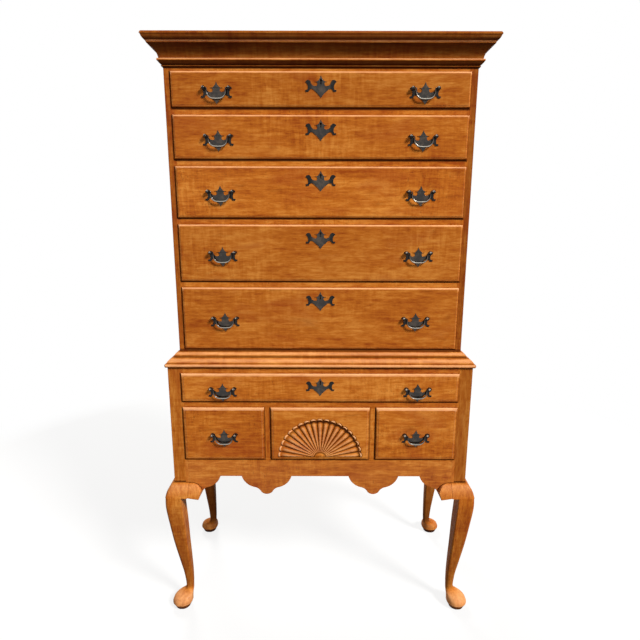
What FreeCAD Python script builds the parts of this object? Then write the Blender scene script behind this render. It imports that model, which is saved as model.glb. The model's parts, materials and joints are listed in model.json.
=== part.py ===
"""Highboy: a chest of drawers on a frame with cabriole legs, as separate wooden and brass pieces.

X runs to the right, Y to the back and Z up, in millimetres. The origin is on the floor, under
the middle of the lower case.
"""
import FreeCAD, Part
import math
import os
import Sketcher

# Every size that can be set by itself: alias, value in millimetres, what it is.
SIZES = [
    ("upper_width", 915, "upper case, side to side"),
    ("upper_depth", 401, "upper case, front to back"),
    ("lower_step", 33, "how far the lower case stands out beyond the upper one, front and sides"),
    ("side_board", 25, "thickness of the upper case's sides"),
    ("top_board", 20, "thickness of the upper case's top"),
    ("bottom_board", 18, "thickness of the upper case's bottom"),
    ("back_board", 10, "thickness of the back boards"),
    ("post", 48, "side of the square corner posts above the legs"),
    ("lower_side", 22, "thickness of the lower case's sides"),
    ("apron_board", 22, "thickness of the apron and of the dividers"),
    ("blade_depth", 60, "drawer blades, front to back"),
    ("rail_board", 32, "top and bottom rails of the upper case, front to back"),
    ("divider", 32, "width of the upright dividers between the short drawers"),
    ("runner_width", 30, "how far a drawer runner reaches under its drawer"),
    ("runner_height", 20, "height of a drawer runner and of a drawer guide"),
    # The fronts, from the floor up
    ("apron_level", 503, "flat stretches of the apron's lower edge, above the floor"),
    ("apron_height", 68.1, "apron above its flat stretches"),
    ("short_lip", 182, "height of the three short drawer fronts"),
    ("long_lip", 95, "height of the long drawer front in the lower case"),
    ("lower_top_rail", 24.1, "height of the rail over the long drawer"),
    ("bottom_rail", 58.4, "height of the upper case's bottom rail"),
    ("blade", 28.8, "height of the rails between drawers"),
    ("lip_1", 98, "height of the top drawer front"),
    ("lip_2", 124.5, "height of the second drawer front"),
    ("lip_3", 151, "height of the third drawer front"),
    ("lip_4", 174.5, "height of the fourth drawer front"),
    ("lip_5", 199, "height of the fifth drawer front"),
    ("top_rail", 76.4, "height of the upper case's top rail"),
    # Drawers
    ("lip_side", 5.5, "how far a lip covers the case at each side"),
    ("lip_edge", 4, "how far a lip covers the rails above and below"),
    ("lip_proud", 6.5, "how far a drawer front stands out from the case"),
    ("lip_round", 4.5, "radius of the moulded edge of a lip"),
    ("short_width", 265, "width of the left and right short drawer fronts"),
    ("front_body", 15.5, "thickness of a drawer front behind the lip"),
    ("play", 1.5, "space beside and above a drawer in its opening"),
    ("running_gap", 0.3, "space under a drawer on its runners"),
    ("box_side", 11, "thickness of drawer sides and backs"),
    ("box_bottom", 8, "thickness of drawer bottoms"),
    ("box_drop", 4, "how far drawer sides stay below the top of the front"),
    ("rear_space", 20, "space behind a closed drawer"),
    ("tail_length", 10, "how far a dovetail reaches into the front"),
    ("tail_width", 17, "height of a dovetail at its tip"),
    ("tail_flare", 2.5, "how much a dovetail narrows at each side towards its root"),
    # Cornice, measured outwards from the case and down from the top
    ("crown_out", 47, "reach of the crown moulding"),
    ("crown_top_in", 3, "rounding at the crown's top edge"),
    ("crown_lip", 5.5, "height of the crown's rounded top edge"),
    ("ovolo_in", 9.5, "reach of the quarter round under the top edge"),
    ("ovolo_height", 15.5, "height of the quarter round"),
    ("crown_fillet", 2.5, "step between the quarter round and the cove"),
    ("cove_in", 25, "reach of the cove"),
    ("cove_height", 37.5, "height of the cove"),
    ("cove_radius", 40, "radius of the cove"),
    ("bed_out", 13.5, "reach of the bed moulding"),
    ("bed_fillet", 3, "height of the bed moulding's top step"),
    ("bed_height", 16.6, "height of the bed moulding below its step"),
    ("bed_radius", 26, "radius of the bed moulding's quarter round"),
    # Waist moulding, measured outwards from the upper case and up from the seam
    ("waist_out", 38.9, "reach of the waist moulding"),
    ("waist_height", 45.5, "height of the waist moulding"),
    ("waist_top_out", 1.5, "width of its top edge"),
    ("waist_bevel_out", 13.5, "reach of its upper round"),
    ("waist_bevel_height", 11, "height of its upper round"),
    ("waist_step", 4, "height of the step below the upper round"),
    ("waist_ovolo_out", 33.5, "reach of its broad round"),
    ("waist_ovolo_height", 16, "height of its broad round"),
    ("waist_groove", 1.5, "depth of the groove above the bead"),
    # Apron: two drops, and a bracket curve at each end
    ("drop_centre", 180, "from the middle of the apron to the middle of a drop"),
    ("drop_half", 84, "half the width of a drop at the top"),
    ("drop_waist", 38, "half the width of a drop below its shoulders"),
    ("drop_neck", 18.5, "half the width of a drop's round tip"),
    ("drop_depth", 66.5, "depth of a drop"),
    ("drop_shoulder", 41.5, "depth of a drop's shoulders"),
    ("drop_tip", 8, "height of the round tip"),
    ("lobe_radius", 58, "radius of a drop's shoulder"),
    ("neck_radius", 32, "radius of the hollow under the shoulder"),
    ("tip_radius", 25.5, "radius of the tip"),
    ("bracket_reach", 107, "length of the end bracket along the apron"),
    ("bracket_lobe", 59, "from the post to the inner end of the bracket's shoulder"),
    ("bracket_neck", 46, "from the post to the foot of the bracket's hollow"),
    ("bracket_tip", 33, "from the post to the tip of the bracket"),
    ("bracket_shoulder", 42, "depth of the bracket's shoulder"),
    ("bracket_hollow", 54, "depth of the bracket's hollow"),
    ("bracket_depth", 80, "depth of the bracket's tip"),
    ("bracket_foot_rise", 6, "how much shallower the bracket is at the post than at its tip"),
    # Legs: heights of the knee below the apron level, and how far each stretch stands
    # outside or inside the lower case's corner
    ("shoulder_drop", 21, "top of the knee below the apron level"),
    ("knee_top_drop", 32, "upper part of the knee below the apron level"),
    ("knee_mid_drop", 47, "middle of the knee below the apron level"),
    ("knee_low_drop", 67, "underside of the knee below the apron level"),
    ("shoulder_out", 3.5, "top of the knee outside the corner"),
    ("knee_top_out", 14, "upper part of the knee outside the corner"),
    ("knee_mid_out", 23, "middle of the knee outside the corner"),
    ("knee_out", 28.5, "underside of the knee outside the corner"),
    ("knee_bulge", 72, "radius of the knee's profile"),
    ("knee_round", 9, "radius of the knee's corner"),
    ("knee_in", 26, "leg below the knee, inside the corner"),
    ("calf_out", 29, "calf outside the corner"),
    ("calf_in", 27.5, "calf inside the corner"),
    ("shin_out", 22.5, "shin outside the corner"),
    ("shin_in", 30.5, "shin inside the corner"),
    ("shin_low_out", 12, "lower shin outside the corner"),
    ("shin_low_in", 33.5, "lower shin inside the corner"),
    ("small_out", -1, "small of the leg outside the corner"),
    ("small_in", 37, "small of the leg inside the corner"),
    ("ankle_level", 82, "ankle above the floor"),
    ("ankle_out", -11, "ankle outside the corner"),
    ("ankle_in", 38.5, "ankle inside the corner"),
    ("instep_level", 50, "instep above the floor"),
    ("instep_out", -8, "instep outside the corner"),
    ("instep_in", 38, "instep inside the corner"),
    ("foot_inset", 3, "centre of the foot inside the corner"),
    ("foot_radius", 35, "radius of the pad foot"),
    ("foot_height", 27, "height of the pad foot"),
    ("foot_rim", 13, "height of the foot's widest line"),
    ("foot_base", 26, "radius of the foot on the floor"),
    ("foot_top", 25, "radius of the foot's top"),
    # Knee blocks, measured from the post
    ("block_flat", 5, "flat top of a knee block"),
    ("block_reach", 43, "reach of a knee block"),
    ("block_side_drop", 48.5, "depth of the block's outermost point below the apron level"),
    ("block_tip", 36.5, "from the post to the block's tip"),
    ("block_tip_drop", 73, "depth of the block's tip below the apron level"),
    ("block_radius", 38, "radius of the block's upper edge"),
    # Fan carved in the middle short drawer
    ("fan_radius", 141, "radius of the fan"),
    ("fan_lift", 5, "centre of the fan above the drawer front's lower edge"),
    ("fan_depth", 6, "depth of the carved ground"),
    ("fan_rim", 5, "space between the rays and the edge of the ground"),
    ("ray_rise", 4.5, "height of the rays over the ground"),
    ("boss_radius", 20, "radius of the half-round boss"),
    # Pulls, escutcheons and locks
    ("pull_bore", 74, "from post to post of a pull"),
    ("pull_lift", 2, "pull posts above the middle of an upper drawer front"),
    ("lower_pull_lift", -2, "pull posts above the middle of a lower drawer front"),
    ("upper_pull_place", 304, "from the middle of an upper drawer to the middle of a pull"),
    ("long_pull_place", 314.5, "from the middle of the long drawer to the middle of a pull"),
    ("plate_half", 44.5, "half the width of a backplate or escutcheon"),
    ("plate_up", 18, "backplate above the post line"),
    ("plate_down", 43, "backplate below the post line"),
    ("plate_sheet", 1.6, "thickness of backplates and escutcheons"),
    ("ear_radius", 7, "radius of a backplate's ear"),
    ("stem_radius", 2, "radius of a post's stem"),
    ("stem_fit", 0.05, "space around a post's stem"),
    ("post_neck", 3.6, "radius of a post's neck"),
    ("head_radius", 5.2, "radius of a post's head"),
    ("post_reach", 13, "post in front of the backplate"),
    ("head_length", 10.4, "length of a post's head"),
    ("pivot_reach", 7.5, "bail pivot in front of the backplate"),
    ("nut_radius", 5, "radius of a nut"),
    ("nut_height", 3, "height of a nut"),
    ("stem_tail", 2, "post behind its nut"),
    ("bail_rod", 1.9, "radius of a bail"),
    ("pin_radius", 1.5, "radius of a bail's pivot pin"),
    ("pin_fit", 0.08, "space around a bail's pivot pin"),
    ("pin_engage", 4, "how far a pin reaches into its post"),
    ("pin_play", 0.5, "space between a bail's elbow and its post"),
    ("elbow_radius", 3.2, "bend at a bail's pivot, on the rod's centre line"),
    ("bail_drop", 29, "bail's grip below its pivot"),
    ("bail_corner", 19, "bend at a bail's grip, on the rod's centre line"),
    ("plate_below_lip", 30, "escutcheon's ears below the top of the drawer front"),
    ("key_radius", 3, "radius of the keyhole's round"),
    ("key_slot", 1.6, "half the width of the keyhole's slot"),
    ("key_up", 5, "keyhole's round above the escutcheon's ears"),
    ("key_length", 11, "keyhole from the round's centre to its foot"),
    ("lock_width", 56, "width of a lock case"),
    ("lock_height", 44, "height of a lock case"),
    ("lock_depth", 12, "depth of a lock case"),
    ("bolt_width", 20, "width of a lock bolt"),
    ("bolt_depth", 6, "depth of a lock bolt"),
    ("bolt_height", 24, "height of a lock bolt"),
    ("bolt_fit", 0.2, "space around a lock bolt"),
    ("bolt_throw", 8, "travel of a lock bolt"),
]

UPPER_DRAWERS = 5
BACK_BOARDS = 4
FAN_RAYS = 19
RAY_OVERLAP = 1.12
TAIL_PITCH = 38.0

X_AXIS = FreeCAD.Vector(1, 0, 0)
Y_AXIS = FreeCAD.Vector(0, 1, 0)
Z_AXIS = FreeCAD.Vector(0, 0, 1)


class Dim:
    """A size that knows its value and the sheet formula that it comes from."""

    def __init__(self, value, formula=None):
        self.value = float(value)
        self.formula = formula or "({:.6f})".format(float(value))

    def joined(self, other, sign, value):
        return Dim(value, "({} {} {})".format(self.formula, sign, other.formula))

    def __add__(self, other):
        other = as_dim(other)
        return self.joined(other, "+", self.value + other.value)

    def __sub__(self, other):
        other = as_dim(other)
        return self.joined(other, "-", self.value - other.value)

    def __mul__(self, other):
        other = as_dim(other)
        return self.joined(other, "*", self.value * other.value)

    def __truediv__(self, other):
        other = as_dim(other)
        return self.joined(other, "/", self.value / other.value)

    def __radd__(self, other):
        return as_dim(other) + self

    def __rsub__(self, other):
        return as_dim(other) - self

    def __rmul__(self, other):
        return as_dim(other) * self

    def __neg__(self):
        return as_dim(0) - self


def as_dim(value):
    return value if isinstance(value, Dim) else Dim(value)


class Sizes:
    """The sheet's cells as named sizes."""


def make_sheet(doc):
    sheet = doc.addObject("Spreadsheet::Sheet", "Sizes")
    size = Sizes()
    for row, (alias, value, note) in enumerate(SIZES, start=1):
        sheet.set("A{}".format(row), note)
        sheet.set("B{}".format(row), str(value))
        sheet.setAlias("B{}".format(row), alias)
        setattr(size, alias, Dim(value, "Sizes." + alias))
    doc.recompute()
    return size


doc = FreeCAD.newDocument("Highboy")
size = make_sheet(doc)
nodes = []


# Sizes that follow from the sheet

lower_width = size.upper_width + 2 * size.lower_step
lower_depth = size.upper_depth + size.lower_step
lower_front = -lower_depth / 2
upper_front = lower_front + size.lower_step
back = lower_depth / 2
upper_half = size.upper_width / 2
lower_half = lower_width / 2
post_in = lower_half - size.post

apron_top = size.apron_level + size.apron_height
short_bottom = apron_top - size.lip_edge
middle_rail_bottom = short_bottom + size.short_lip - size.lip_edge
long_bottom = middle_rail_bottom + size.blade - size.lip_edge
lower_rail_bottom = long_bottom + size.long_lip - size.lip_edge
seam = lower_rail_bottom + size.lower_top_rail

shoulder_level = size.apron_level - size.shoulder_drop
knee_level = size.apron_level - size.knee_low_drop

upper_lips = [getattr(size, "lip_{}".format(n + 1)) for n in range(UPPER_DRAWERS)]
upper_bottoms = []
level = seam + size.bottom_rail
for lip in reversed(upper_lips):
    upper_bottoms.insert(0, level - size.lip_edge)
    level = level + lip - 2 * size.lip_edge + size.blade
top_rail_bottom = level - size.blade
top_board_bottom = top_rail_bottom + size.top_rail
top = top_board_bottom + size.top_board

upper_open_half = upper_half - size.side_board
upper_lip_width = 2 * (upper_open_half + size.lip_side)
long_lip_width = 2 * (post_in + size.lip_side)
divider_show = size.divider - 2 * size.lip_side
fan_lip_width = long_lip_width - 2 * size.short_width - 2 * divider_show
short_centre = (fan_lip_width + size.short_width) / 2 + divider_show
divider_centre = (fan_lip_width + divider_show) / 2


# Tools for making pieces

def bind(obj, path, value):
    """Let a property of an object follow the sheet."""
    obj.setExpression(path, as_dim(value).formula)


def place(obj, across, deep, up, angle=0, axis=Z_AXIS):
    """Put an object at a point that follows the sheet, turned about an axis."""
    obj.Placement = FreeCAD.Placement(FreeCAD.Vector(), FreeCAD.Rotation(axis, angle))
    for path, value in zip(("x", "y", "z"), (across, deep, up)):
        bind(obj, "Placement.Base." + path, value)
    return obj


def name_node(obj, label):
    """Make an object a sub-part, written to a file of its own."""
    obj.Label = label
    nodes.append(obj)
    return obj


def box(name, across, deep, up):
    """A board between two places along each axis, given as (low, high) pairs."""
    board = doc.addObject("Part::Box", name)
    for path, (low, high) in zip(("Length", "Width", "Height"), (across, deep, up)):
        bind(board, path, high - low)
    return place(board, across[0], deep[0], up[0])


def cylinder(name, radius, length, across, deep, up, axis=Y_AXIS):
    """A round bar that starts at a point and runs along an axis."""
    bar = doc.addObject("Part::Cylinder", name)
    bind(bar, "Radius", radius)
    bind(bar, "Height", length)
    turn = FreeCAD.Rotation(Z_AXIS, axis)
    return place(bar, across, deep, up, math.degrees(turn.Angle), turn.Axis)


def group(name, pieces, across=0, deep=0, up=0, angle=0):
    """Separate solids as one object."""
    compound = doc.addObject("Part::Compound", name)
    compound.Links = pieces
    return place(compound, across, deep, up, angle)


def cut(name, base, tools):
    """A piece with other shapes taken out of it."""
    piece = doc.addObject("Part::Cut", name)
    piece.Base = base
    piece.Tool = tools[0] if len(tools) == 1 else group(name + "_tools", tools)
    return piece


def fuse(name, pieces):
    """Shapes joined into one piece."""
    piece = doc.addObject("Part::MultiFuse", name)
    piece.Shapes = pieces
    return piece


def common(name, base, tool):
    """What two shapes share."""
    piece = doc.addObject("Part::Common", name)
    piece.Base = base
    piece.Tool = tool
    return piece


def own_plane(body, role):
    return [item for item in body.Origin.OriginFeatures if item.Role == role][0]


def edge_between(start, end, radius):
    """A straight edge, or an arc whose centre is left of the way for a positive radius."""
    first = FreeCAD.Vector(start[0], start[1], 0)
    last = FreeCAD.Vector(end[0], end[1], 0)
    if radius is None:
        return Part.LineSegment(first, last)
    half = (last - first) * 0.5
    left = FreeCAD.Vector(-half.y, half.x, 0).normalize()
    rise = math.sqrt(radius ** 2 - half.Length ** 2)
    centre = first + half + left * math.copysign(rise, radius)
    if radius < 0:
        first, last = last, first
    angles = [math.atan2(end_point.y - centre.y, end_point.x - centre.x) for end_point in (first, last)]
    return Part.ArcOfCircle(Part.Circle(centre, Z_AXIS, abs(radius)), *angles)


def outline(body, name, corners, role="XZ_Plane", lift=None, closed=True):
    """A sketch through corners given as (across, up) or (across, up, radius).

    A radius bends the edge that leaves the corner: to the left of the way round when it is
    positive, to the right when it is negative.
    """
    sketch = body.newObject("Sketcher::SketchObject", name)
    sketch.AttachmentSupport = (own_plane(body, role), [""])
    sketch.MapMode = "FlatFace"
    if lift is not None:
        bind(sketch, "AttachmentOffset.Base.z", lift)
    corners = [tuple(as_dim(value) for value in corner) for corner in corners]
    edges = len(corners) if closed else len(corners) - 1
    starts = []
    for index in range(edges):
        here = corners[index]
        there = corners[(index + 1) % len(corners)]
        radius = here[2].value if len(here) == 3 else None
        ends = [(corner[0].value, corner[1].value) for corner in (here, there)]
        sketch.addGeometry(edge_between(ends[0], ends[1], radius))
        starts.append(2 if radius is not None and radius < 0 else 1)
    for index in range(edges):
        follower = (index + 1) % edges
        if closed or index < edges - 1:
            meet = Sketcher.Constraint("Coincident", index, 3 - starts[index], follower, starts[follower])
            sketch.addConstraint(meet)
    for index, corner in enumerate(corners):
        edge, end = index, starts[index % edges]
        if index == edges:
            edge, end = index - 1, 3 - starts[-1]
        for kind, value in (("DistanceX", corner[0]), ("DistanceY", corner[1])):
            number = sketch.addConstraint(Sketcher.Constraint(kind, -1, 1, edge, end, value.value))
            bind(sketch, "Constraints[{}]".format(number), value)
        if len(corner) == 3:
            radius = corner[2] if corner[2].value > 0 else -corner[2]
            number = sketch.addConstraint(Sketcher.Constraint("Radius", index, radius.value))
            bind(sketch, "Constraints[{}]".format(number), radius)
    return sketch


def rectangle(low, high, bottom, top_edge):
    return [(low, bottom), (high, bottom), (high, top_edge), (low, top_edge)]


def pad(body, name, sketch, length, backwards=False):
    """Raise a sketch from its plane; on the upright plane that is towards the front."""
    feature = body.newObject("PartDesign::Pad", name)
    feature.Profile = sketch
    feature.Reversed = backwards
    bind(feature, "Length", length)
    return feature


def new_body(name):
    return doc.addObject("PartDesign::Body", name)


def edges_where(shape, test):
    """Names of the edges whose ends both pass a test."""
    found = []
    for index, edge in enumerate(shape.Edges, start=1):
        if all(test(vertex.Point) for vertex in edge.Vertexes):
            found.append("Edge{}".format(index))
    return found


# Cornice and waist moulding

def crown_profile():
    """Crown outline: (outwards, up) from the case at the underside of the crown."""
    cove_foot = size.crown_out - size.ovolo_in - size.crown_fillet - size.cove_in
    cove_top = size.cove_height
    ovolo_foot = cove_top + size.crown_fillet
    ovolo_top = ovolo_foot + size.ovolo_height
    crown_top = ovolo_top + size.crown_lip
    return [
        (0, 0),
        (cove_foot, 0, -size.cove_radius),
        (cove_foot + size.cove_in, cove_top),
        (cove_foot + size.cove_in, ovolo_foot),
        (size.crown_out - size.ovolo_in, ovolo_foot, size.ovolo_height + size.crown_lip),
        (size.crown_out, ovolo_top),
        (size.crown_out - size.crown_top_in, crown_top),
        (0, crown_top),
    ]


def bed_profile():
    """Bed moulding outline: (outwards, up) from the case at its underside."""
    return [
        (0, 0),
        (0.5, 0, size.bed_radius),
        (size.bed_out, size.bed_height),
        (size.bed_out, size.bed_height + size.bed_fillet),
        (0, size.bed_height + size.bed_fillet),
    ]


def waist_profile():
    """Waist moulding outline: (outwards, up) from the upper case at the seam."""
    bevel_foot = size.waist_height - size.waist_bevel_height
    step_foot = bevel_foot - size.waist_step
    groove_level = step_foot - size.waist_ovolo_height
    groove_out = size.waist_ovolo_out - size.waist_groove
    bead_radius = groove_level / 2 + 1.5
    return [
        (0, 0),
        (size.waist_out - size.waist_groove, 0, bead_radius),
        (groove_out, groove_level),
        (size.waist_ovolo_out, groove_level, size.waist_ovolo_height + 12),
        (size.waist_bevel_out + 1, step_foot),
        (size.waist_bevel_out, step_foot),
        (size.waist_bevel_out, bevel_foot, size.waist_bevel_height + 4),
        (size.waist_top_out, size.waist_height),
        (0, size.waist_height),
    ]


def mitre(name, corner, reach, at_end):
    """A cutter for one end of a moulding: it meets the case's corner at 45 degrees."""
    cutter = doc.addObject("Part::Box", name)
    for path in ("Length", "Width", "Height"):
        bind(cutter, path, 4 * reach)
    if at_end:
        return place(cutter, corner, 0, -reach, -45)
    return place(cutter, corner - 2 * reach, -2 * reach, -reach, 45)


def moulding_run(name, profile, length, reach, mitre_start, mitre_end):
    """A straight moulding along X whose face looks to -Y, with mitred ends."""
    body = new_body(name + "_stick")
    outwards = [(-corner[0], corner[1]) + tuple(-bend for bend in corner[2:]) for corner in profile]
    sketch = outline(body, name + "_profile", outwards, role="YZ_Plane")
    pad(body, name + "_length", sketch, length)
    cutters = []
    if mitre_start:
        cutters.append(mitre(name + "_mitre_start", reach, reach, at_end=False))
    if mitre_end:
        cutters.append(mitre(name + "_mitre_end", length - reach, reach, at_end=True))
    return cut(name + "_run", body, cutters)


def mitred_set(name, profile, reach, underside):
    """Front, left and right lengths of a moulding around the upper case."""
    front_run = moulding_run(name + "_front", profile, size.upper_width + 2 * reach, reach, True, True)
    left_run = moulding_run(name + "_left", profile, size.upper_depth + reach, reach, False, True)
    right_run = moulding_run(name + "_right", profile, size.upper_depth + reach, reach, True, False)
    return [
        group(name + "_front_place", [front_run], -upper_half - reach, upper_front, underside),
        group(name + "_left_place", [left_run], -upper_half, back, underside, -90),
        group(name + "_right_place", [right_run], upper_half, upper_front - reach, underside, 90),
    ]


crown_height = size.cove_height + size.crown_fillet + size.ovolo_height + size.crown_lip
crown_bottom = top - crown_height
bed_bottom = crown_bottom - size.bed_height - size.bed_fillet


def make_mouldings():
    crown = mitred_set("crown", crown_profile(), size.crown_out, crown_bottom)
    bed = mitred_set("bed", bed_profile(), size.bed_out, bed_bottom)
    name_node(group("cornice", crown + bed), "cornice")
    waist = mitred_set("waist", waist_profile(), size.waist_out, seam)
    name_node(group("waist_moulding", waist), "waist_moulding")


# Upper case

def make_upper_case():
    depth = (upper_front, back)
    inner_depth = (upper_front, back - size.back_board)
    left = box("left_side", (-upper_half, -upper_open_half), depth, (seam, top))
    right = box("right_side", (upper_open_half, upper_half), depth, (seam, top))
    inside = (-upper_open_half, upper_open_half)
    lid = box("top_panel", inside, inner_depth, (top_board_bottom, top))
    behind_rail = (upper_front + size.rail_board, back - size.back_board)
    floor = box("bottom_panel", inside, behind_rail, (seam, seam + size.bottom_board))
    name_node(group("upper_case_boards", [left, right, lid, floor]), "upper_case_boards")

    boards = []
    board_height = (top - seam) / BACK_BOARDS
    for number in range(BACK_BOARDS):
        low = seam + number * board_height
        across = (back - size.back_board, back)
        boards.append(box("back_plank_{}".format(number + 1), inside, across, (low, low + board_height)))
    name_node(group("upper_case_back", boards), "upper_case_back")

    rail_depth = (upper_front, upper_front + size.rail_board)
    rails = [box("bottom_rail_board", inside, rail_depth, (seam, seam + size.bottom_rail))]
    rails.append(bolt_mortise("top_rail_board", rail_depth, (top_rail_bottom, top_board_bottom)))
    for number in range(1, UPPER_DRAWERS):
        low = upper_bottoms[number - 1] + size.lip_edge - size.blade
        blade_depth = (upper_front, upper_front + size.blade_depth)
        name = "blade_{}".format(number)
        rails.append(bolt_mortise(name, blade_depth, (low, low + size.blade)))
    name_node(group("drawer_blades", rails), "drawer_blades")


def bolt_mortise(name, deep, up):
    """A rail with a mortise in its underside, for the bolt of the drawer below."""
    board = box(name + "_board", (-upper_open_half, upper_open_half), deep, up)
    half = size.bolt_width / 2 + size.bolt_fit
    bolt_front = upper_front + bolt_offset
    mortise_depth = (bolt_front - size.bolt_fit, bolt_front + size.bolt_depth + size.bolt_fit)
    hole = box(name + "_mortise", (-half, half), mortise_depth, (up[0] - 1, up[0] + size.bolt_throw + 1))
    return cut(name, board, [hole])


bolt_offset = size.front_body + (size.lock_depth - size.bolt_depth) / 2


def make_runners():
    runners = []
    behind_blade = (upper_front + size.blade_depth, back - size.back_board)
    reach = (upper_open_half - size.runner_width, upper_open_half)
    for number, bottom in enumerate(upper_bottoms, start=1):
        level = (bottom + size.lip_edge - size.runner_height, bottom + size.lip_edge)
        runners += mirrored_boxes("upper_runner_{}".format(number), reach, behind_blade, level)
    between_posts = (lower_front + size.post, back - size.post)
    side_in = lower_half - size.lower_side
    for name, opening in (("long", long_bottom + size.lip_edge), ("short", apron_top)):
        under = (opening - size.runner_height, opening)
        beside = (opening, opening + size.runner_height)
        reach = (post_in - size.runner_width, side_in)
        runners += mirrored_boxes(name + "_runner", reach, between_posts, under)
        guide = (post_in + size.play / 2, side_in)
        runners += mirrored_boxes(name + "_guide", guide, between_posts, beside)
    behind_apron = (lower_front + size.apron_board, back - size.back_board)
    half = size.divider / 2
    reach = (divider_centre - half - size.runner_width, divider_centre + half + size.runner_width)
    under = (apron_top - size.runner_height, apron_top)
    runners += mirrored_boxes("middle_runner", reach, behind_apron, under)
    reach = (divider_centre - half + size.play / 2, divider_centre + half - size.play / 2)
    beside = (apron_top, apron_top + size.runner_height)
    runners += mirrored_boxes("middle_guide", reach, behind_apron, beside)
    name_node(group("drawer_runners", runners), "drawer_runners")


def mirrored_boxes(name, across, deep, up):
    """The same board on the right and on the left."""
    right = box(name + "_right", across, deep, up)
    left = box(name + "_left", (-across[1], -across[0]), deep, up)
    return [right, left]


# Lower case

def bracket_corners(post_face):
    """The end bracket's lower edge, from its foot at a post up to the flat edge on the right."""
    def at(reach, drop, *radius):
        return (post_face + reach, size.apron_level - drop) + radius
    return [
        at(0, size.bracket_depth - size.bracket_foot_rise),
        at(size.bracket_tip, size.bracket_depth),
        at(size.bracket_neck, size.bracket_hollow, -size.neck_radius),
        at(size.bracket_lobe, size.bracket_shoulder, size.lobe_radius),
        at(size.bracket_reach, 0),
    ]


def drop_corners():
    """The right-hand drop, from its inner end to its outer end."""
    shoulder = size.apron_level - size.drop_shoulder
    neck = size.apron_level - size.drop_depth + size.drop_tip
    centre = size.drop_centre
    return [
        (centre - size.drop_half, size.apron_level, size.lobe_radius),
        (centre - size.drop_waist, shoulder, -size.neck_radius),
        (centre - size.drop_neck, neck, size.tip_radius),
        (centre + size.drop_neck, neck, -size.neck_radius),
        (centre + size.drop_waist, shoulder, size.lobe_radius),
        (centre + size.drop_half, size.apron_level),
    ]


def turned_back(corners, mirror):
    """The same curve walked the other way, mirrored, so that it keeps its bends."""
    walked = []
    for index in range(len(corners) - 1, -1, -1):
        point = corners[index][:2]
        bend = corners[index - 1][2:] if index > 0 else ()
        walked.append((mirror - point[0], point[1]) + tuple(bend))
    return walked


def make_apron():
    """Scalloped front apron, walked from the left post to the right post and back on top."""
    left = bracket_corners(-post_in)
    right_drop = drop_corners()
    left_drop = turned_back(right_drop, 0)
    right = turned_back(left, 0)
    corners = left + left_drop + right_drop + right
    corners += [(post_in, apron_top), (-post_in, apron_top)]
    body = new_body("apron")
    sketch = outline(body, "apron_outline", corners)
    pad(body, "apron_thickness", sketch, size.apron_board, backwards=True)
    place(body, 0, lower_front, 0)
    name_node(body, "apron")


def make_lower_case():
    side_length = lower_depth - 2 * size.post
    near = bracket_corners(as_dim(0))
    far = turned_back(near, side_length)
    sides = []
    for name, across in (("left", -lower_half), ("right", lower_half - size.lower_side)):
        body = new_body("lower_{}_side".format(name))
        corners = near + far + [(side_length, seam), (0, seam)]
        sketch = outline(body, "lower_{}_outline".format(name), corners, role="YZ_Plane")
        pad(body, "lower_{}_thickness".format(name), sketch, size.lower_side)
        sides.append(place(body, across, lower_front + size.post, 0))
    name_node(group("lower_case_sides", sides), "lower_case_sides")

    across = (-post_in, post_in)
    deep = (back - size.back_board, back)
    middle = (size.apron_level + seam) / 2
    low = box("lower_back_plank_1", across, deep, (size.apron_level, middle))
    high = box("lower_back_plank_2", across, deep, (middle, seam))
    name_node(group("lower_case_back", [low, high]), "lower_case_back")

    post_depth = (lower_front, lower_front + size.post)
    upper_rail = box("lower_top_rail_board", across, post_depth, (lower_rail_bottom, seam))
    middle_rail_top = middle_rail_bottom + size.blade
    middle_rail = box("middle_rail_board", across, post_depth, (middle_rail_bottom, middle_rail_top))
    divider_across = (divider_centre - size.divider / 2, divider_centre + size.divider / 2)
    board_depth = (lower_front, lower_front + size.apron_board)
    dividers = mirrored_boxes("divider", divider_across, board_depth, (apron_top, middle_rail_bottom))
    name_node(group("lower_case_rails", [upper_rail, middle_rail] + dividers), "lower_case_rails")


# Legs and knee blocks

def square_section(body, name, level, outside, inside, radius):
    """A leg section: a square with four rounded corners, off the case's corner."""
    low = -outside
    corners = [
        (low + radius, low), (inside - radius, low, radius), (inside, low + radius),
        (inside, inside - radius, radius), (inside - radius, inside), (low + radius, inside, radius),
        (low, inside - radius), (low, low + radius, radius),
    ]
    return outline(body, name, corners, role="XY_Plane", lift=level)


def knee_section(body, name, drop, outside):
    """A knee section: square towards the case and rounded at the outer corner."""
    low = -outside
    inside = size.post
    corners = [
        (low + size.knee_round, low), (inside, low), (inside, inside), (low, inside),
        (low, low + size.knee_round, size.knee_round),
    ]
    return outline(body, name, corners, role="XY_Plane", lift=size.apron_level - drop)


def loft(body, name, sections):
    feature = body.newObject("PartDesign::AdditiveLoft", name)
    feature.Profile = sections[0]
    feature.Sections = sections[1:]
    return feature


def leg_level(share):
    """A height between the ankle and the underside of the knee."""
    return size.ankle_level + (knee_level - size.ankle_level) * share


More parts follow.
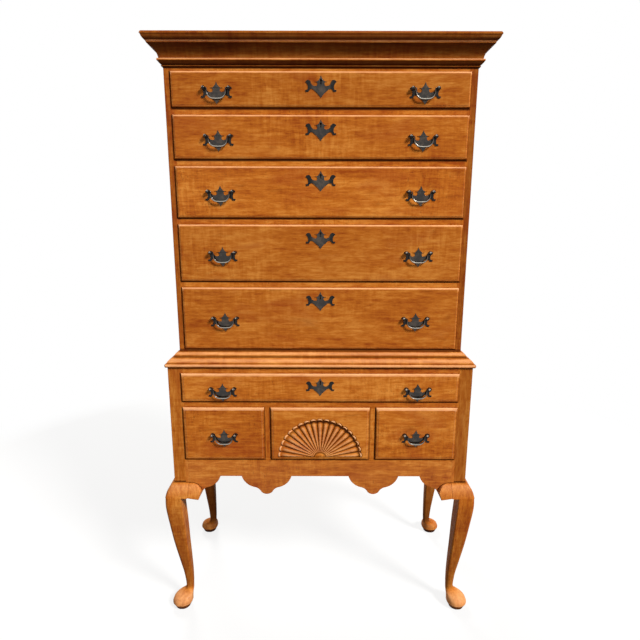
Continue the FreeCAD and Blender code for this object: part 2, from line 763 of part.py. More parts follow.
def make_leg():
    """One leg with its post: the case's outer corner is at the origin, the case at +X and +Y."""
    body = new_body("leg")
    square = rectangle(0, size.post, 0, size.post)
    sketch = outline(body, "post_outline", square, role="XY_Plane", lift=shoulder_level)
    pad(body, "post_height", sketch, seam - shoulder_level)
    knee = [
        knee_section(body, "shoulder_section", size.shoulder_drop, size.shoulder_out),
        knee_section(body, "knee_top_section", size.knee_top_drop, size.knee_top_out),
        knee_section(body, "knee_mid_section", size.knee_mid_drop, size.knee_mid_out),
        knee_section(body, "knee_low_section", size.knee_low_drop, size.knee_out),
    ]
    loft(body, "knee", knee)
    shin = [
        square_section(body, "shin_top", knee_level, size.knee_out, size.knee_in, size.knee_round),
        square_section(body, "calf", leg_level(0.88), size.calf_out, size.calf_in, as_dim(9)),
        square_section(body, "shin", leg_level(0.7), size.shin_out, size.shin_in, as_dim(8.5)),
        square_section(body, "shin_low", leg_level(0.45), size.shin_low_out, size.shin_low_in, as_dim(8)),
        square_section(body, "small", leg_level(0.2), size.small_out, size.small_in, as_dim(8)),
        square_section(body, "ankle", size.ankle_level, size.ankle_out, size.ankle_in, as_dim(9)),
        square_section(body, "instep", size.instep_level, size.instep_out, size.instep_in, as_dim(10)),
        square_section(body, "foot_join", size.foot_height * 0.8, size.foot_top - size.foot_inset - 4,
                       size.foot_top + size.foot_inset - 2, as_dim(18)),
    ]
    loft(body, "shin_loft", shin)

    pad_foot = new_body("pad_foot")
    corners = [
        (0, 0), (size.foot_base, 0, size.foot_radius - size.foot_base + 6),
        (size.foot_radius, size.foot_rim, size.foot_radius - size.foot_top + 6),
        (size.foot_top, size.foot_height), (0, size.foot_height),
    ]
    sketch = outline(pad_foot, "foot_profile", corners)
    turning = pad_foot.newObject("PartDesign::Revolution", "foot_turning")
    turning.Profile = sketch
    turning.ReferenceAxis = (sketch, ["V_Axis"])
    turning.Angle = 360
    place(pad_foot, size.foot_inset, size.foot_inset, 0)
    return fuse("leg_with_foot", [body, pad_foot])


def make_legs():
    leg = make_leg()
    corners = [
        ("leg_front_left", -lower_half, lower_front, 0),
        ("leg_front_right", lower_half, lower_front, 90),
        ("leg_rear_right", lower_half, back, 180),
        ("leg_rear_left", -lower_half, back, 270),
    ]
    for label, across, deep, angle in corners:
        name_node(group(label, [leg], across, deep, 0, angle), label)


def knee_block(name, sense):
    """A knee block in front of an apron, beside a post at its left (sense 1) or right (-1)."""
    shape = new_body(name + "_shape")

    def at(reach, drop, *radius):
        return (sense * reach, size.apron_level - drop) + tuple(sense * r for r in radius)
    corners = [
        at(0, size.knee_low_drop),
        at(size.block_tip, size.block_tip_drop),
        at(size.block_reach, size.block_side_drop, size.block_radius),
        at(size.block_flat, size.shoulder_drop),
        at(0, size.shoulder_drop),
    ]
    sketch = outline(shape, name + "_outline", corners)
    pad(shape, name + "_thickness", sketch, size.knee_out + 1)

    profile = new_body(name + "_profile")
    low = size.apron_level - size.block_tip_drop
    corners = [
        (0, low), (-size.knee_out, low), (-size.knee_out, knee_level, -size.knee_bulge),
        (-size.shoulder_out, shoulder_level), (0, shoulder_level),
    ]
    sketch = outline(profile, name + "_section", corners, role="YZ_Plane")
    pad(profile, name + "_length", sketch, size.block_reach + 1, backwards=sense < 0)
    return common(name, shape, profile)


def make_knee_blocks():
    right_of_post = knee_block("block_right_of_post", 1)
    left_of_post = knee_block("block_left_of_post", -1)
    side_front = lower_front + size.post
    side_back = back - size.post
    blocks = [
        group("front_block_left", [right_of_post], -post_in, lower_front, 0),
        group("front_block_right", [left_of_post], post_in, lower_front, 0),
        group("left_block_front", [left_of_post], -lower_half, side_front, 0, -90),
        group("left_block_rear", [right_of_post], -lower_half, side_back, 0, -90),
        group("right_block_front", [right_of_post], lower_half, side_front, 0, 90),
        group("right_block_rear", [left_of_post], lower_half, side_back, 0, 90),
    ]
    name_node(group("knee_blocks", blocks), "knee_blocks")


# Brass

def plate_outline():
    """Batwing outline, clockwise from the top spike; most of its edges are hollow arcs."""
    wide = size.plate_half
    rise = size.plate_up
    fall = size.plate_down
    ear = size.pull_bore / 2 + 0.5
    right = [
        (0.15 * wide, 0.28 * rise, 0.30 * wide),
        (0.36 * wide, 0.08 * rise, 0.19 * wide),
        (0.27 * wide, -0.25 * fall, 0.42 * wide),
        (ear - size.ear_radius, 0, -1.01 * size.ear_radius),
        (ear + size.ear_radius, 0, 0.37 * wide),
        (0.85 * wide, -0.44 * fall),
        (wide, -0.57 * fall, -0.09 * wide),
        (0.90 * wide, -0.67 * fall, 0.34 * wide),
        (0.69 * wide, -0.42 * fall, 0.34 * wide),
        (0.40 * wide, -0.56 * fall, 0.70 * wide),
    ]
    spike = (0, rise, 0.70 * wide)
    point = (0, -fall)
    half = [spike] + right + [point]
    left = []
    for index in range(len(half) - 2, 0, -1):
        left.append((-half[index][0], half[index][1]) + tuple(half[index - 1][2:]))
    return [spike] + right + [point + (0.70 * wide,)] + left


def keyhole(name, front, depth):
    """A cutter in the shape of a keyhole, about the escutcheon's ear line."""
    bar = cylinder(name + "_round", size.key_radius, depth, 0, front, size.key_up)
    slot_up = (size.key_up - size.key_length, size.key_up)
    slot = box(name + "_slot", (-size.key_slot, size.key_slot), (front, front + depth), slot_up)
    return fuse(name, [bar, slot])


def make_plate(name):
    body = new_body(name)
    sketch = outline(body, name + "_outline", plate_outline())
    pad(body, name + "_thickness", sketch, size.plate_sheet)
    return body


def make_post():
    """A pull post along Y, from its tail at -Y to its round head at +Y; 0 is the drawer front."""
    body = new_body("pull_post")
    neck_start = size.plate_sheet
    tip = neck_start + size.post_reach
    head_start = tip - size.head_length
    tail = size.lip_proud + size.front_body + size.nut_height + size.stem_tail
    corners = [
        (0, -tail),
        (size.stem_radius, -tail),
        (size.stem_radius, neck_start),
        (size.head_radius - 0.5, neck_start),
        (size.post_neck, neck_start + 2),
        (size.post_neck, head_start, size.head_length / 2),
        (size.head_radius, tip - size.head_length / 2, size.head_radius),
        (size.head_radius / 4, tip),
        (0, tip),
    ]
    sketch = outline(body, "post_profile", corners, role="XY_Plane")
    turning = body.newObject("PartDesign::Revolution", "post_turning")
    turning.Profile = sketch
    turning.ReferenceAxis = (sketch, ["V_Axis"])
    turning.Angle = 360
    return body


def make_pull():
    """Backplate, two posts and two nuts, about the middle of the post line on the front."""
    plate = make_plate("backplate")
    turned = group("turned_post", [make_post()], angle=180)
    hole_radius = size.stem_radius + size.stem_fit
    bore_radius = size.pin_radius + size.pin_fit
    bore_length = size.pin_engage + 2
    bore_deep = -size.plate_sheet - size.pivot_reach
    nut_front = size.lip_proud + size.front_body
    plate_holes = []
    pieces = []
    for side, sense in (("left", -1), ("right", 1)):
        across = sense * size.pull_bore / 2
        hole_length = size.plate_sheet + 2
        hole = cylinder("plate_hole_" + side, hole_radius, hole_length, across, -size.plate_sheet - 1, 0)
        plate_holes.append(hole)
        post = group("post_blank_" + side, [turned], across)
        bore_inner = across - sense * (size.head_radius + 1)
        bore_start = bore_inner - bore_length if sense < 0 else bore_inner
        bore = cylinder("pin_bore_" + side, bore_radius, bore_length, bore_start, bore_deep, 0, X_AXIS)
        pieces.append(cut("post_" + side, post, [bore]))
        blank = cylinder("nut_blank_" + side, size.nut_radius, size.nut_height, across, nut_front, 0)
        bore = cylinder("nut_bore_" + side, hole_radius, size.nut_height + 2, across, nut_front - 1, 0)
        pieces.append(cut("nut_" + side, blank, [bore]))
    return group("pull", [cut("bored_plate", plate, plate_holes)] + pieces)


bail_half = size.pull_bore / 2 - size.head_radius - size.pin_play - size.elbow_radius


def make_bail():
    """A bail hanging from its pivot at the origin, in the plane of X and Z."""
    body = new_body("bail_body")
    pin_end = size.pull_bore / 2 - size.head_radius + size.pin_engage
    side = bail_half
    foot = size.bail_drop - size.bail_corner
    path = [
        (-side - size.elbow_radius, 0, -size.elbow_radius),
        (-side, -size.elbow_radius),
        (-side, -foot, size.bail_corner),
        (-side + size.bail_corner, -size.bail_drop),
        (side - size.bail_corner, -size.bail_drop, size.bail_corner),
        (side, -foot),
        (side, -size.elbow_radius, -size.elbow_radius),
        (side + size.elbow_radius, 0),
    ]
    spine = outline(body, "bail_path", path, closed=False)
    ring = body.newObject("Sketcher::SketchObject", "bail_section")
    ring.AttachmentSupport = (own_plane(body, "YZ_Plane"), [""])
    ring.MapMode = "FlatFace"
    bind(ring, "AttachmentOffset.Base.z", -side - size.elbow_radius)
    ring.addGeometry(Part.Circle(FreeCAD.Vector(), Z_AXIS, size.bail_rod.value))
    ring.addConstraint(Sketcher.Constraint("Coincident", 0, 3, -1, 1))
    number = ring.addConstraint(Sketcher.Constraint("Radius", 0, size.bail_rod.value))
    bind(ring, "Constraints[{}]".format(number), size.bail_rod)
    pipe = body.newObject("PartDesign::AdditivePipe", "bail_pipe")
    pipe.Profile = ring
    pipe.Spine = spine
    start = side + size.elbow_radius
    left = cylinder("bail_pin_left", size.pin_radius, pin_end - start, -pin_end, 0, 0, X_AXIS)
    right = cylinder("bail_pin_right", size.pin_radius, pin_end - start, start, 0, 0, X_AXIS)
    return fuse("bail", [body, left, right])


def make_escutcheon():
    """A batwing plate with a keyhole in it."""
    plate = make_plate("escutcheon_plate")
    hole = keyhole("escutcheon_keyhole", -size.plate_sheet - 1, size.plate_sheet + 2)
    return cut("escutcheon", plate, [hole])


def make_lock():
    """A lock case with the bolt's channel, about the escutcheon's ear line on the front."""
    half = size.lock_width / 2
    lock_front = size.lip_proud + size.front_body
    deep = (lock_front, lock_front + size.lock_depth)
    up = (lock_top - size.lock_height, lock_top)
    case = box("lock_blank", (-half, half), deep, up)
    half = size.bolt_width / 2 + size.bolt_fit
    bolt_front = lock_front + (size.lock_depth - size.bolt_depth) / 2
    channel = (bolt_front - size.bolt_fit, bolt_front + size.bolt_depth + size.bolt_fit)
    bolt_up = (lock_top - size.bolt_height - size.bolt_fit, lock_top + 1)
    slot = box("bolt_channel", (-half, half), channel, bolt_up)
    key = keyhole("lock_keyhole", lock_front - 1, (size.lock_depth - size.bolt_depth) / 2 + 1)
    return cut("lock_case", case, [slot, key])


lock_top = size.plate_below_lip - size.lip_edge - size.play


# Drawers

def dovetails(name, edge, sense, height, bottom):
    """Tails that join a drawer side to its front, and the same shapes as sockets."""
    count = max(2, round(height.value / TAIL_PITCH))
    tails = []
    for number in range(count):
        tail = doc.addObject("Part::Wedge", "{}_tail_{}".format(name, number + 1))
        half = size.tail_width / 2
        spans = {
            "Xmin": 0, "Xmax": size.box_side, "X2min": 0, "X2max": size.box_side,
            "Ymin": 0, "Ymax": size.tail_length,
            "Zmin": -half, "Zmax": half,
            "Z2min": size.tail_flare - half, "Z2max": half - size.tail_flare,
        }
        for path, value in spans.items():
            bind(tail, path, value)
        across = edge - size.box_side if sense > 0 else edge
        up = bottom + height * (number + 0.5) / count
        tails.append(place(tail, across, size.front_body - size.tail_length, up))
    return tails


def rounded_front(name, width, height):
    """A lipped front about the middle of its lower edge, with the case's face at 0."""
    body = new_body(name + "_blank")
    half = width / 2
    sketch = outline(body, name + "_lip", rectangle(-half, half, 0, height))
    lip = pad(body, name + "_lip_thickness", sketch, size.lip_proud)
    doc.recompute()
    face = -size.lip_proud.value
    front_edges = edges_where(lip.Shape, lambda point: abs(point.y - face) < 0.001)
    edge = body.newObject("PartDesign::Fillet", name + "_moulded_edge")
    edge.Base = (lip, front_edges)
    bind(edge, "Radius", size.lip_round)
    inset = size.lip_side + size.play
    body_top = height - size.lip_edge - size.play
    corners = rectangle(inset - half, half - inset, size.lip_edge + size.running_gap, body_top)
    sketch = outline(body, name + "_rebate", corners)
    pad(body, name + "_body_thickness", sketch, size.front_body, backwards=True)
    return body


def fan_ray(name, length):
    """One ray: a cone that points up, sunk until only a low round ridge is over the ground."""
    half_tip = length * (RAY_OVERLAP * math.sin(math.pi / 2 / FAN_RAYS))
    tip_radius = (half_tip * half_tip / size.ray_rise + size.ray_rise) / 2
    sink = tip_radius - size.ray_rise
    tilt = -math.degrees(math.atan2(sink.value, length.value))
    ray = doc.addObject("Part::Cone", name)
    bind(ray, "Radius1", 0)
    bind(ray, "Radius2", tip_radius)
    bind(ray, "Height", length)
    place(ray, 0, 0, 0, tilt, X_AXIS)
    return ray


def fan_pieces(name):
    """The half-round ground to cut away, and the rays and boss left standing in it."""
    lift = size.fan_lift
    face = -size.lip_proud
    ground_deep = face + size.fan_depth
    half = size.fan_radius + 1
    above = box(name + "_above", (-half, half), (face - 1, ground_deep + 1), (lift, lift + half))
    disc = cylinder(name + "_disc", size.fan_radius, size.fan_depth + 1, 0, face - 1, lift)
    ground = common(name + "_ground", disc, above)
    length = size.fan_radius - size.fan_rim
    ray = fan_ray(name + "_ray", length)
    rays = []
    for number in range(FAN_RAYS):
        turned = group("{}_ray_{}".format(name, number + 1), [ray])
        angle = 180.0 * (number + 0.5) / FAN_RAYS - 90.0
        rays.append(place(turned, 0, ground_deep, lift, angle, Y_AXIS))
    keep_deep = ground_deep - size.ray_rise - 1
    keep = cylinder(name + "_keep", length + 1, size.ray_rise + 1, 0, keep_deep, lift)
    ridges = common(name + "_ridges", fuse(name + "_rays", rays), keep)
    boss = cylinder(name + "_boss", size.boss_radius, size.fan_depth, 0, face + 1, lift)
    carving = fuse(name + "_carving", [ridges, boss])
    return ground, common(name + "_carving_above", carving, above)


def make_drawer(name, across, front, bottom, width, height, box_end, pulls, lock, fan=False):
    """One drawer: its front, its box and its brass, with the bails and the lock bolt apart."""
    blank = rounded_front(name, width, height)
    half = width / 2 - size.lip_side - size.play
    floor_bottom = size.lip_edge + size.running_gap
    wall_bottom = floor_bottom + size.box_bottom
    wall_top = height - size.lip_edge - size.play - size.box_drop
    pull_level = height / 2 + (size.pull_lift if lock else size.lower_pull_lift)
    plate_level = height - size.plate_below_lip
    cutters = []
    sides = []
    for side, sense in (("left", -1), ("right", 1)):
        side_name = "{}_{}".format(name, side)
        tails = dovetails(side_name, sense * half, sense, wall_top - wall_bottom, wall_bottom)
        cutters += tails
        reach = (half - size.box_side, half) if sense > 0 else (-half, size.box_side - half)
        board = box(side_name + "_board", reach, (size.front_body, box_end), (wall_bottom, wall_top))
        sides.append(fuse(side_name + "_side", [board] + tails))
    hole_front = -size.lip_proud - 1
    hole_length = size.lip_proud + size.front_body + 2
    hole_radius = size.stem_radius + size.stem_fit
    for number, place_across in enumerate(pulls):
        for side, sense in (("left", -1), ("right", 1)):
            hole_name = "{}_hole_{}_{}".format(name, number + 1, side)
            hole_across = place_across + sense * size.pull_bore / 2
            hole = cylinder(hole_name, hole_radius, hole_length, hole_across, hole_front, pull_level)
            cutters.append(hole)
    if lock:
        hole = keyhole(name + "_keyhole", hole_front, hole_length)
        cutters.append(group(name + "_keyhole_place", [hole], 0, 0, plate_level))
    front_piece = cut(name + "_front_cut", blank, cutters)
    if fan:
        ground, carving = fan_pieces(name)
        sunk = cut(name + "_sunk", front_piece, [ground])
        front_piece = fuse(name + "_carved", [sunk, carving])
    label = name + "_front"
    name_node(group(label, [front_piece], across, front, bottom), label)

    inner = half - size.box_side
    wall = (wall_bottom, wall_top)
    rear = box(name + "_rear", (-inner, inner), (box_end - size.box_side, box_end), wall)
    floor = box(name + "_floor", (-half, half), (size.front_body, box_end), (floor_bottom, wall_bottom))
    label = name + "_box"
    name_node(group(label, sides + [rear, floor], across, front, bottom), label)

    brass = []
    for number, place_across in enumerate(pulls):
        pull_name = "{}_pull_{}".format(name, number + 1)
        brass.append(group(pull_name, [PULL], place_across, -size.lip_proud, pull_level))
        if len(pulls) == 1:
            label = name + "_bail"
        else:
            label = "{}_{}_bail".format(name, ("left", "right")[number])
        bail_deep = front - size.lip_proud - size.plate_sheet - size.pivot_reach
        bail_place = (across + place_across, bail_deep, bottom + pull_level)
        name_node(group(label, [BAIL], *bail_place), label)
    if len(pulls) == 2:
        brass.append(group(name + "_escutcheon", [ESCUTCHEON], 0, -size.lip_proud, plate_level))
    if lock:
        brass.append(group(name + "_lock", [LOCK], 0, -size.lip_proud, plate_level))
        bolt_half = size.bolt_width / 2
        bolt_deep = (bolt_offset, bolt_offset + size.bolt_depth)
        bolt_up = (plate_level + lock_top - size.bolt_height, plate_level + lock_top)
        bolt = box(name + "_bolt_bar", (-bolt_half, bolt_half), bolt_deep, bolt_up)
        label = name + "_bolt"
        name_node(group(label, [bolt], across, front, bottom), label)
    if brass:
        label = name + "_hardware"
        name_node(group(label, brass, across, front, bottom), label)


def make_drawers():
    upper_box = size.upper_depth - size.back_board - size.rear_space
    lower_box = lower_depth - size.back_board - size.rear_space
    for number in range(UPPER_DRAWERS):
        pulls = [-size.upper_pull_place, size.upper_pull_place]
        name = "upper_drawer_{}".format(number + 1)
        make_drawer(name, 0, upper_front, upper_bottoms[number], upper_lip_width, upper_lips[number],
                    upper_box, pulls, lock=True)
    pulls = [-size.long_pull_place, size.long_pull_place]
    make_drawer("long_drawer", 0, lower_front, long_bottom, long_lip_width, size.long_lip,
                lower_box, pulls, lock=False)
    make_drawer("left_drawer", -short_centre, lower_front, short_bottom, size.short_width,
                size.short_lip, lower_box, [as_dim(0)], lock=False)
    make_drawer("fan_drawer", 0, lower_front, short_bottom, fan_lip_width, size.short_lip,
                lower_box, [], lock=False, fan=True)
    make_drawer("right_drawer", short_centre, lower_front, short_bottom, size.short_width,
                size.short_lip, lower_box, [as_dim(0)], lock=False)


def check_and_export():
    doc.recompute()
    for obj in doc.Objects:
        if "Invalid" in obj.State or "Error" in obj.State:
            raise RuntimeError("{} did not recompute: {}".format(obj.Label, obj.State))
    labels = [node.Label for node in nodes]
    if len(set(labels)) != len(labels):
        raise RuntimeError("two sub-parts share a label")
    for node in nodes:
        if node.Shape.isNull() or not node.Shape.isValid():
            raise RuntimeError("{} has no valid shape".format(node.Label))
    os.makedirs("parts", exist_ok=True)
    for node in nodes:
        node.Shape.exportStep("parts/{}.step".format(node.Label))
    print("{} sub-parts, {} solids".format(len(nodes), sum(len(node.Shape.Solids) for node in nodes)))


PULL = make_pull()
BAIL = make_bail()
ESCUTCHEON = make_escutcheon()
LOCK = make_lock()
make_legs()
make_knee_blocks()
make_apron()
make_lower_case()
make_runners()
make_upper_case()
make_mouldings()
make_drawers()
check_and_export()
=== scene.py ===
"""A highboy in figured maple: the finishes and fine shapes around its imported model.

Lengths are in metres. X runs to the right, Y to the back and Z up from the floor.
"""
import json
import math
import random
from collections import Counter

import bmesh
import bpy
from mathutils import Matrix, Vector

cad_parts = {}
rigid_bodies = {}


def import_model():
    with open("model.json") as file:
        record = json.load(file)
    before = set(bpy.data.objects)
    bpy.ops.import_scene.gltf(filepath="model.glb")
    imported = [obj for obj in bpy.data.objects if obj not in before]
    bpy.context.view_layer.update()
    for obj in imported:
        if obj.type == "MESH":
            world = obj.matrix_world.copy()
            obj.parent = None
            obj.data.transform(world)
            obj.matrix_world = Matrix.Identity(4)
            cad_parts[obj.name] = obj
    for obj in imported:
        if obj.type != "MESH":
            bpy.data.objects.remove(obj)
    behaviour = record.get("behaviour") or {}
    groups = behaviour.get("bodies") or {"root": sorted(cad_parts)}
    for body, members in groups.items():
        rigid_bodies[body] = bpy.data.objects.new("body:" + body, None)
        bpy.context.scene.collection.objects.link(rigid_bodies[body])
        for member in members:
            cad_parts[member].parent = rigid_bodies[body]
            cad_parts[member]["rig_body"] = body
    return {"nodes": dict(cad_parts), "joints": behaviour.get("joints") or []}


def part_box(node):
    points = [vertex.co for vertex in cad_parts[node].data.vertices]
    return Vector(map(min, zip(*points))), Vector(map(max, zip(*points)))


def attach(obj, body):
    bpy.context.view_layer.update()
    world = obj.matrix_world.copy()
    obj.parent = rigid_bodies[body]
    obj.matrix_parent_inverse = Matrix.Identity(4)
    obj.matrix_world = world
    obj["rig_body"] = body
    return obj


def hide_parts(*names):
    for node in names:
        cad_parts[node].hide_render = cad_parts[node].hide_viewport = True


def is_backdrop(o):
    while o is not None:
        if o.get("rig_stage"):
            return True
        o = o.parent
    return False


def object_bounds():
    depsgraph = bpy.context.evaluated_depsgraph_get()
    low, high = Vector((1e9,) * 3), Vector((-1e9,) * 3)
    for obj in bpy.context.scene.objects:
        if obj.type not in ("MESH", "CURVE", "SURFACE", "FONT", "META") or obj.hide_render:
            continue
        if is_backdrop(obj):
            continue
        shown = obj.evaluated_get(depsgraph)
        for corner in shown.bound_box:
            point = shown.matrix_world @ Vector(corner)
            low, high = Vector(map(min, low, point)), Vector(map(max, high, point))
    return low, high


bl_info = {
    "name": "Highboy",
    "version": (1, 0, 0),
    "blender": (4, 5, 0),
    "location": "3D View > Sidebar > Highboy",
    "description": "Maple, brass and carving of a chest of drawers on a frame",
    "category": "Object",
}

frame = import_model()
cad_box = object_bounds()
nodes = frame["nodes"]

MM = 0.001
# Two places nearer than this are one
HAIR = 0.01 * MM
# Faces that meet at less than this are shaded as one curve
SMOOTH_BELOW = math.radians(32)
# Outer edges that turn by more than this are arrises
SHARP_ABOVE = math.radians(60)
# How far each piece of an arc turns
ARC_STEP = math.radians(7)
# Points on each side of a leg's rings
SIDE_POINTS = 8
# Fronts wider than this have an escutcheon
WIDE = 0.5
DRAWERS = [name[:-len("_front")] for name in nodes if name.endswith("_front")]
LOCKED = [name[:-len("_bolt")] for name in nodes if name.endswith("_bolt")]


# Settings

def shade(red, green, blue):
    """A colour given in display values from 0 to 255, as the linear colour of a shader."""
    def linear(value):
        value = value / 255
        return value / 12.92 if value <= 0.04045 else ((value + 0.055) / 1.055) ** 2.4
    return (linear(red), linear(green), linear(blue))


def colour(name, description, *display):
    return bpy.props.FloatVectorProperty(
        name=name, description=description, subtype="COLOR", size=3, min=0, max=1, default=shade(*display))


def length(name, description, millimetres):
    return bpy.props.FloatProperty(
        name=name, description=description, unit="LENGTH", precision=4, default=millimetres * MM)


def share(name, description, value):
    return bpy.props.FloatProperty(
        name=name, description=description, subtype="FACTOR", min=0, max=1, default=value)


def number(name, description, value):
    return bpy.props.FloatProperty(name=name, description=description, default=value)


def angle(name, description, degrees):
    return bpy.props.FloatProperty(
        name=name, description=description, subtype="ANGLE", default=math.radians(degrees))


class WoodSettings(bpy.types.PropertyGroup):
    """Colours of the woods and the wear of their edges."""

    pale: colour("Pale", "Lightest streaks of the maple", 216, 138, 58)
    honey: colour("Honey", "Middle colour of the maple", 188, 105, 32)
    amber: colour("Amber", "Darker streaks of the maple", 150, 68, 18)
    russet: colour("Russet", "Reddish clouds in the varnish", 156, 68, 26)
    # Umber also paints shade: under the lips and mouldings, in the cornice's cove and in the fan
    umber: colour("Umber", "Stains and dirt in the maple", 58, 21, 9)
    # Worn also paints highlights: on the tops of the lips, the mouldings, the knees, the toes and the fan's
    # rays
    worn: colour("Worn", "Rubbed arrises of the maple", 240, 176, 122)
    pine: colour("Pine", "Middle colour of the bare pine", 196, 158, 108)
    pine_ring: colour("Pine rings", "Growth rings of the bare pine", 158, 112, 66)
    curl: share("Curl", "Strength of the bands across the maple's grain", 0.5)
    varnish: share("Varnish", "Weight of the varnish coat", 0.1)
    arris: length("Arris", "Softness of the case's outer corners", 1.6)
    joint: length("Joint", "Softness of the edges where boards meet", 0.3)


class FrontSettings(bpy.types.PropertyGroup):
    """Moulded edges of the drawer fronts."""

    proud: length("Proud", "How far a front stands out from the case", 6.5)
    rise: length("Rise", "Height of the quarter round on a front's edge", 4.2)
    step: length("Step", "Small step between the quarter round and the field", 0.8)
    upper: length("Upper width", "Width of the quarter round on the upper drawers", 5.5)
    lower: length("Lower width", "Width of the quarter round on the lower drawers", 8.5)
    carved_foot: share("Carved foot", "Narrowing of the lower edge under the carving", 0.4)


class CarvingSettings(bpy.types.PropertyGroup):
    """The fan carved in the middle drawer."""

    radius: length("Radius", "From the fan's centre to its scalloped edge", 141)
    lift: length("Lift", "Centre of the fan above the front's lower edge", 5)
    rays: bpy.props.IntProperty(name="Rays", description="Number of rays", default=19, min=3)
    scallop: length("Scallop", "Depth of the scallops along the edge", 4)
    crest: length("Crest", "From the edge to the crest of a ray's turned end", 4.6)
    bowl: length("Bowl", "From the edge to the deepest place of a ray", 11.5)
    wall: length("Wall", "Drop from the field to the fan's edge", 3.5)
    depth: length("Depth", "Deepest place of a ray's crest line", 4.2)
    floor: length("Floor", "Deepest place of the valleys between rays", 6.3)
    boss: length("Boss", "Radius of the half-round boss", 20)


class LegSettings(bpy.types.PropertyGroup):
    """Cabriole legs and pad feet."""

    post: length("Post", "Side of the square post above the leg", 48)
    shoulder: length("Shoulder", "Height of the knee's shoulder", 482)
    foot_radius: length("Foot radius", "Radius of the pad foot", 35)
    foot_inset: length("Foot inset", "Centre of the foot inside the case's corner", 3)


class PullSettings(bpy.types.PropertyGroup):
    """Batwing plates, turned posts, bails and escutcheons."""

    bore: length("Bore", "From post to post", 74)
    half: length("Half width", "Half the width of a plate", 44.5)
    up: length("Up", "Plate above the line of the posts", 18)
    down: length("Down", "Plate below the line of the posts", 43)
    ear: length("Ear", "Radius of a plate's ear", 8.2)
    sheet: length("Sheet", "Thickness of a plate", 1.6)
    bevel: length("Bevel", "Filed edge of a plate", 0.5)
    pivot: length("Pivot", "Bail pivot in front of a plate", 7.5)
    reach: length("Reach", "Post in front of a plate", 13)
    head: length("Head", "Radius of a post's round head", 5.7)
    neck: length("Neck", "Radius of a post's neck", 3.6)
    stem: length("Stem", "Radius of a post's stem", 2)
    rod: length("Rod", "Radius of a bail at its ends", 1.8)
    swell: share("Swell", "How much thicker a bail's grip is than its ends", 0.3)
    drop: length("Drop", "Bail's grip below its pivot", 29)
    plate_below_lip: length("Escutcheon", "Escutcheon's ears below the top of its front", 30)
    dark: colour("Dark brass", "Colour of the patina", 30, 25, 21)
    worn: colour("Worn brass", "Colour where the patina is rubbed", 66, 53, 40)
    # Bright brass also paints the glints on the post heads and the highlight along the bails' grips
    bright: colour("Bright brass", "Colour where fingers polish the brass", 190, 184, 170)
    iron: colour("Iron", "Colour of the lock bolts", 78, 74, 70)


class StageSettings(bpy.types.PropertyGroup):
    """Camera, light and floor."""

    across: length("Across", "Camera to the right of the middle", -1.8)
    distance: length("Distance", "Camera in front of the origin", 1693)
    height: length("Height", "Camera above the floor", 1348.3)
    pitch: angle("Pitch", "Camera turned down", 11.762)
    yaw: angle("Yaw", "Camera turned to the right", 0.027)
    roll: angle("Roll", "Camera tilted", 0.133)
    lens: number("Lens", "Focal length in millimetres", 27)
    key: number("Key light", "Power of the large lamp above the right, in watts", 3300)
    fill: number("Fill light", "Power of the lamp on the left, in watts", 95)
    rear: number("Rear light", "Power of the lamp behind, in watts", 520)
    sky: number("Sky", "Strength of the light from all round", 0.07)
    ground: colour("Floor", "Colour of the floor", 236, 234, 230)


SETTINGS = {
    "wood": WoodSettings,
    "front": FrontSettings,
    "carving": CarvingSettings,
    "leg": LegSettings,
    "pull": PullSettings,
    "stage": StageSettings,
}


def settings(group):
    return getattr(bpy.context.scene, "highboy_" + group)


# Materials

class Wire:
    """A number that varies over a surface, for use in Python sums."""

    def __init__(self, shader, socket):
        self.shader = shader
        self.socket = socket

    def maths(self, operation, *values):
        made = self.shader.node("Math", {"operation": operation}, dict(enumerate(values)))
        return Wire(self.shader, made.outputs[0])

    def __add__(self, other):
        return self.maths("ADD", self, other)

    def __radd__(self, other):
        return self.maths("ADD", other, self)

    def __sub__(self, other):
        return self.maths("SUBTRACT", self, other)

    def __rsub__(self, other):
        return self.maths("SUBTRACT", other, self)

    def __mul__(self, other):
        return self.maths("MULTIPLY", self, other)

    def __rmul__(self, other):
        return self.maths("MULTIPLY", other, self)

    def lowest(self, other):
        return self.maths("MINIMUM", self, other)

    def highest(self, other):
        return self.maths("MAXIMUM", self, other)

    def size(self):
        return self.maths("ABSOLUTE", self)

    def wave(self):
        return self.maths("SINE", self)

    def between(self, low, high):
        """0 below low, 1 above high and a smooth rise between them; high may be the lower."""
        made = self.shader.node("MapRange", {"interpolation_type": "SMOOTHSTEP"},
                                {"Value": self, "From Min": low, "From Max": high})
        return Wire(self.shader, made.outputs["Result"])


